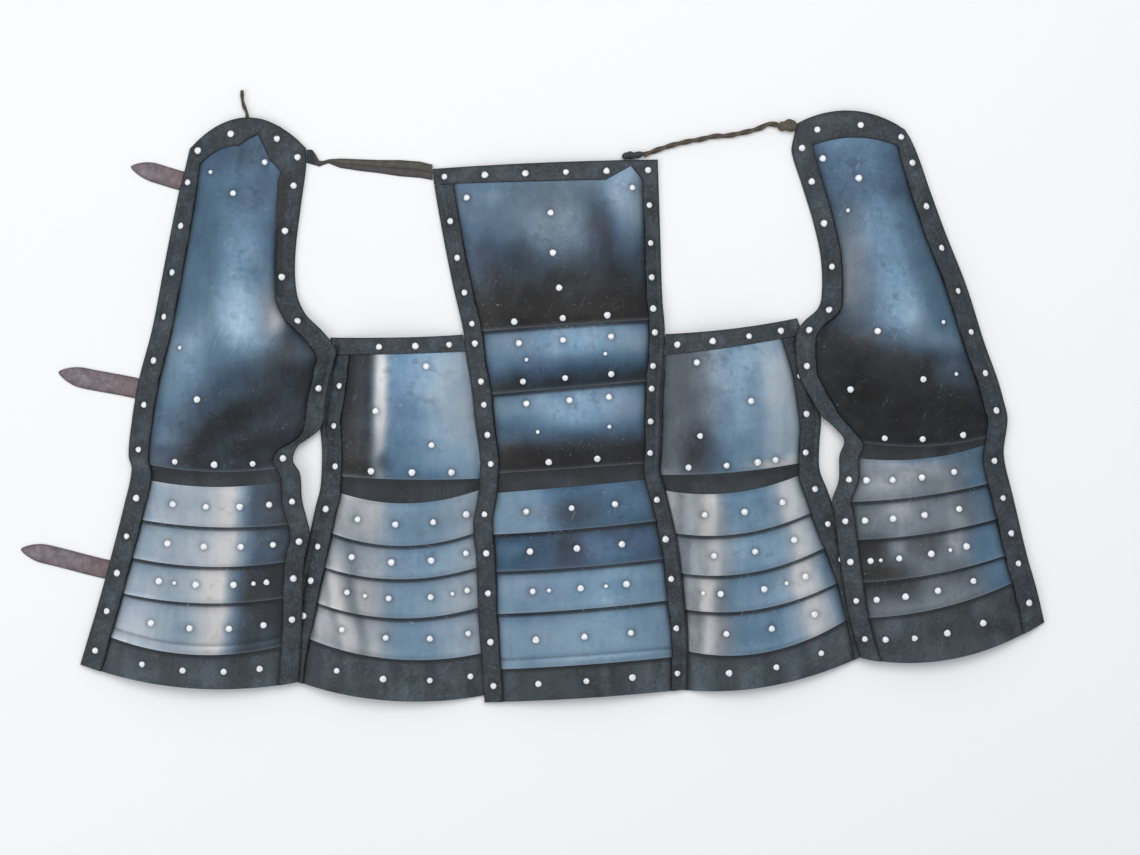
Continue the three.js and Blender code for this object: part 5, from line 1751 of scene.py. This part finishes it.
# %% Flecks, scratches and smudges
where = blued.threshold(blued.grain(46, 2), 0.48, 0.66)
fleck = blued.maths("MULTIPLY", blued.threshold(blued.grain(3.4, 2, 0.5), 0.69, 0.76), where)
steel_colour = blued.coat(steel_colour, fleck, 0.38, linear(190, 200, 208))
scratch = blued.maths(
    "ADD",
    blued.threshold(blued.grain(1.6, 2, 0.4, (1.0, 0.03, 1.0), 24), 0.66, 0.75),
    blued.threshold(blued.grain(1.4, 2, 0.4, (1.0, 0.022, 1.0), -63), 0.66, 0.75), clamp=True,
)
scratch = blued.maths("MULTIPLY", scratch, blued.threshold(blued.grain(28, 2), 0.42, 0.62))
scratch = blued.maths("MULTIPLY", scratch, blued.range(toned, 0.10, 0.42))
steel_colour = blued.mix(scratch, steel_colour, linear(168, 182, 196))
smudge = blued.threshold(blued.grain(17, 3, 0.6), 0.54, 0.70)
steel_colour = blued.coat(steel_colour, smudge, 0.16, linear(58, 62, 66))
blued.colour(steel_colour)
blued.shader.inputs["Metallic"].default_value = 0.55
gloss = blued.range(blued.grain(12, 3), 0.32, 0.50)
gloss = blued.maths("ADD", gloss, blued.maths("MULTIPLY", smudge, 0.14))
blued.roughness(gloss)
dents = blued.grain(7, 4, 0.6, (1.0, 0.25, 1.0))
dents = blued.maths("ADD", dents, blued.maths("MULTIPLY", scratch, -0.3))
blued.bump(dents, 0.22, 0.35)
print("blued steel:", len(blued.tree.nodes), "nodes")

# %% [markdown]
# ## Black leather
# The borders, bands and hems are thick black leather, dry and rubbed. A plain dark colour would
# look like plastic. A Voronoi texture gives the net of fine creases, stretched noise gives the
# long wrinkles, and finer noise the scuffs. The meshes say where it is rubbed pale and where the
# edges are dark, and they carry painted shade: rings round the rivets, the folds of the bands and
# hems, and the sunk bands.

# %% Black leather
leather = Finish("black_leather")
body = leather.grain(24, 5, 0.65)
leather_colour = leather.ramp(body, [
    (0.3, linear(34, 41, 45)), (0.5, linear(51, 60, 66)), (0.7, linear(77, 88, 95)),
])
leather_colour = leather.coat(leather_colour, leather.field("worn"), 0.8, linear(92, 104, 114))
crease = leather.threshold(leather.cells(2.6), 0.16, 0.02)
wrinkle = leather.threshold(leather.grain(5, 3, 0.6, (1.0, 0.22, 1.0), 12), 0.56, 0.68)
leather_colour = leather.coat(leather_colour, crease, 0.5, linear(24, 28, 31))
leather_colour = leather.coat(leather_colour, wrinkle, 0.45, linear(28, 33, 37))
scuff = leather.threshold(leather.grain(4, 5, 0.8), 0.54, 0.68)
leather_colour = leather.coat(leather_colour, scuff, 0.6, linear(104, 115, 118))
# Dark edges of the strips, and painted shade in the folds of bands and hems.
leather_colour = leather.coat(leather_colour, leather.field("edge"), 0.75, linear(20, 24, 25))
# Painted shade round the rivets, on the bands and on the sunk layer beside the arm strip.
leather_colour = leather.coat(leather_colour, leather.field("shade"), 0.8, linear(14, 18, 21))
leather.colour(leather_colour)
leather.roughness(leather.range(leather.grain(1.5, 3, 0.6), 0.42, 0.72))
skin = leather.maths("SUBTRACT", leather.grain(5, 4, 0.6), leather.maths("MULTIPLY", crease, 0.35))
skin = leather.maths("SUBTRACT", skin, leather.maths("MULTIPLY", wrinkle, 0.4))
leather.bump(skin, 0.6, 0.7)
print("black leather:", len(leather.tree.nodes), "nodes")

# %% [markdown]
# ## Straps
# The tongues are undyed leather gone grey-brown, redder near their roots, where they were covered.
# The shoulder strap was dyed olive, and its thin tied end is black. Both have the same dry grain,
# so each is one ramp of three colours and a few coats. A picture of leather would be finer, but
# from this far the grain is hardly a pixel wide.

# %% Grey-brown strap leather
strap = Finish("strap_leather")
strap_colour = strap.ramp(strap.grain(9, 5, 0.65), [
    (0.3, linear(98, 88, 91)), (0.5, linear(122, 111, 115)), (0.7, linear(144, 133, 137)),
])
strap_colour = strap.coat(strap_colour, strap.field("shade"), 0.3, linear(104, 76, 74))
strap_colour = strap.coat(strap_colour, strap.field("edge"), 0.7, linear(58, 48, 46))
strap.colour(strap_colour)
strap.roughness(strap.range(strap.grain(2, 3), 0.6, 0.85))
strap.bump(strap.grain(1.8, 4, 0.65), 0.5, 0.4)
print("strap leather:", len(strap.tree.nodes), "nodes")

# %% Olive shoulder strap
olive = Finish("olive_strap")
olive_colour = olive.ramp(olive.grain(9, 5, 0.65), [
    (0.25, linear(58, 57, 50)), (0.5, linear(79, 78, 69)), (0.8, linear(100, 98, 90)),
])
olive_colour = olive.coat(olive_colour, olive.field("shade"), 0.8, linear(76, 70, 78))
olive_colour = olive.mix(olive.field("ear"), olive_colour, linear(42, 47, 50))
# Dark edges, and painted shade along the fold.
olive_colour = olive.coat(olive_colour, olive.field("edge"), 0.75, linear(40, 38, 34))
olive.colour(olive_colour)
olive.roughness(olive.range(olive.grain(2, 3), 0.6, 0.85))
olive.bump(olive.grain(1.8, 4, 0.65), 0.5, 0.4)
print("olive strap:", len(olive.tree.nodes), "nodes")

# %% [markdown]
# ## Brown thong
# The thongs are twisted strips of brown leather, with painted shade in the groove between the
# strands. The knots are of the same leather, and one of them took much of the border's black dye.
# One finish serves all four pieces, because a mesh without a field gives 0, which leaves that coat
# out.

# %% Brown thong leather
thong = Finish("thong_leather")
thong_colour = thong.ramp(thong.grain(6, 5, 0.7), [
    (0.25, linear(60, 54, 44)), (0.5, linear(86, 78, 66)), (0.78, linear(120, 108, 96)),
])
# Painted shade in the groove between the strands.
thong_colour = thong.coat(thong_colour, thong.field("edge"), 0.6, linear(38, 32, 26))
thong_colour = thong.mix(thong.field("black"), thong_colour, linear(40, 45, 49))
thong.colour(thong_colour)
thong.roughness(thong.range(thong.grain(1.5, 3), 0.55, 0.8))
thong.bump(thong.grain(1.2, 4, 0.65), 0.6, 0.3)
print("thong leather:", len(thong.tree.nodes), "nodes")

# %% [markdown]
# ## Bright rivets and the plain floor
# The rivet heads are polished steel. Full metal would mirror the dark side of the room and turn
# grey from some sides, so they are only a little metallic, and their near-white colour is a painted
# reflection of the polished heads, with uneven gloss. The floor is one plain colour, because it is
# only the stage.

# %% Bright rivets and the plain floor
bright = Finish("bright_rivet")
# Near-white: a painted reflection of polished steel.
rivet_colour = bright.ramp(bright.grain(2.2, 3, 0.6), [
    (0.3, linear(200, 204, 208)), (0.5, linear(242, 244, 246)), (0.8, linear(252, 253, 254)),
])
bright.colour(rivet_colour)
bright.shader.inputs["Metallic"].default_value = 0.1
bright.roughness(bright.range(bright.grain(1.5, 3), 0.26, 0.5))
bright.bump(bright.grain(1.4, 3, 0.6), 0.35, 0.3)

pale = bpy.data.materials.new("pale_floor")
pale.use_nodes = True
pale_shader = pale.node_tree.nodes["Principled BSDF"]
pale_shader.inputs["Base Color"].default_value = (0.96, 0.96, 0.96, 1)
pale_shader.inputs["Roughness"].default_value = 0.9
floor.data.materials.append(pale)
print("finishes:", len(bpy.data.materials))

# %% [markdown]
# ## Joining the looks to the solids
# Every piece rides on the one body of the model and stands for its own solid, which is hidden. The
# armour has no hinge, so one body carries everything.

# %% Finishes, riding and replacing
FINISH_OF = {
    "steel": (blued, "steel"), "liner": (leather, "leather"), "border": (leather, "leather"),
    "strap": (strap, "strap"),
}
for name, piece in pieces.items():
    finish, slot_name = FINISH_OF[piece["kind"]]
    made = piece["object"]
    made.data.materials.append((olive if name == "shoulder_strap" else finish).material)
    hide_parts(name)
    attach(made, "root")
for heads in rivets:
    heads.data.materials.append(bright.material)
    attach(heads, "root")
tied_pieces = {
    "shoulder_thong": shoulder_thong, "loose_thong": loose_thong,
    "thong_knot_front": knot_front, "thong_knot_back": knot_back,
}
for name, tied in tied_pieces.items():
    tied.data.materials.clear()
    tied.data.materials.append(thong.material)
    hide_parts(name)
    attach(tied, "root")
print("pieces that stand for a solid:", len(pieces) + len(tied_pieces))

# %% [markdown]
# ## Leather that lies flat, and cords
# All the leather lies flat: the borders on the plates and bands of their own panel, the rest on
# the floor. Each sheet has the flat size it was cut to, measured on its own surface, and each
# thong is a cord with a length, a route and two ends.


for name, piece in pieces.items():
    if piece["kind"] == "steel":
        continue

to_frame(thong_route[0]).tolist()
to_frame(thong_route).tolist()
to_frame(loose_route[0]).tolist()
to_frame(loose_route).tolist()

# %% [markdown]
# ## The size of the thing
# The looks must not change the size of the thing. One could compare the two models by eye, but a
# measure is surer.
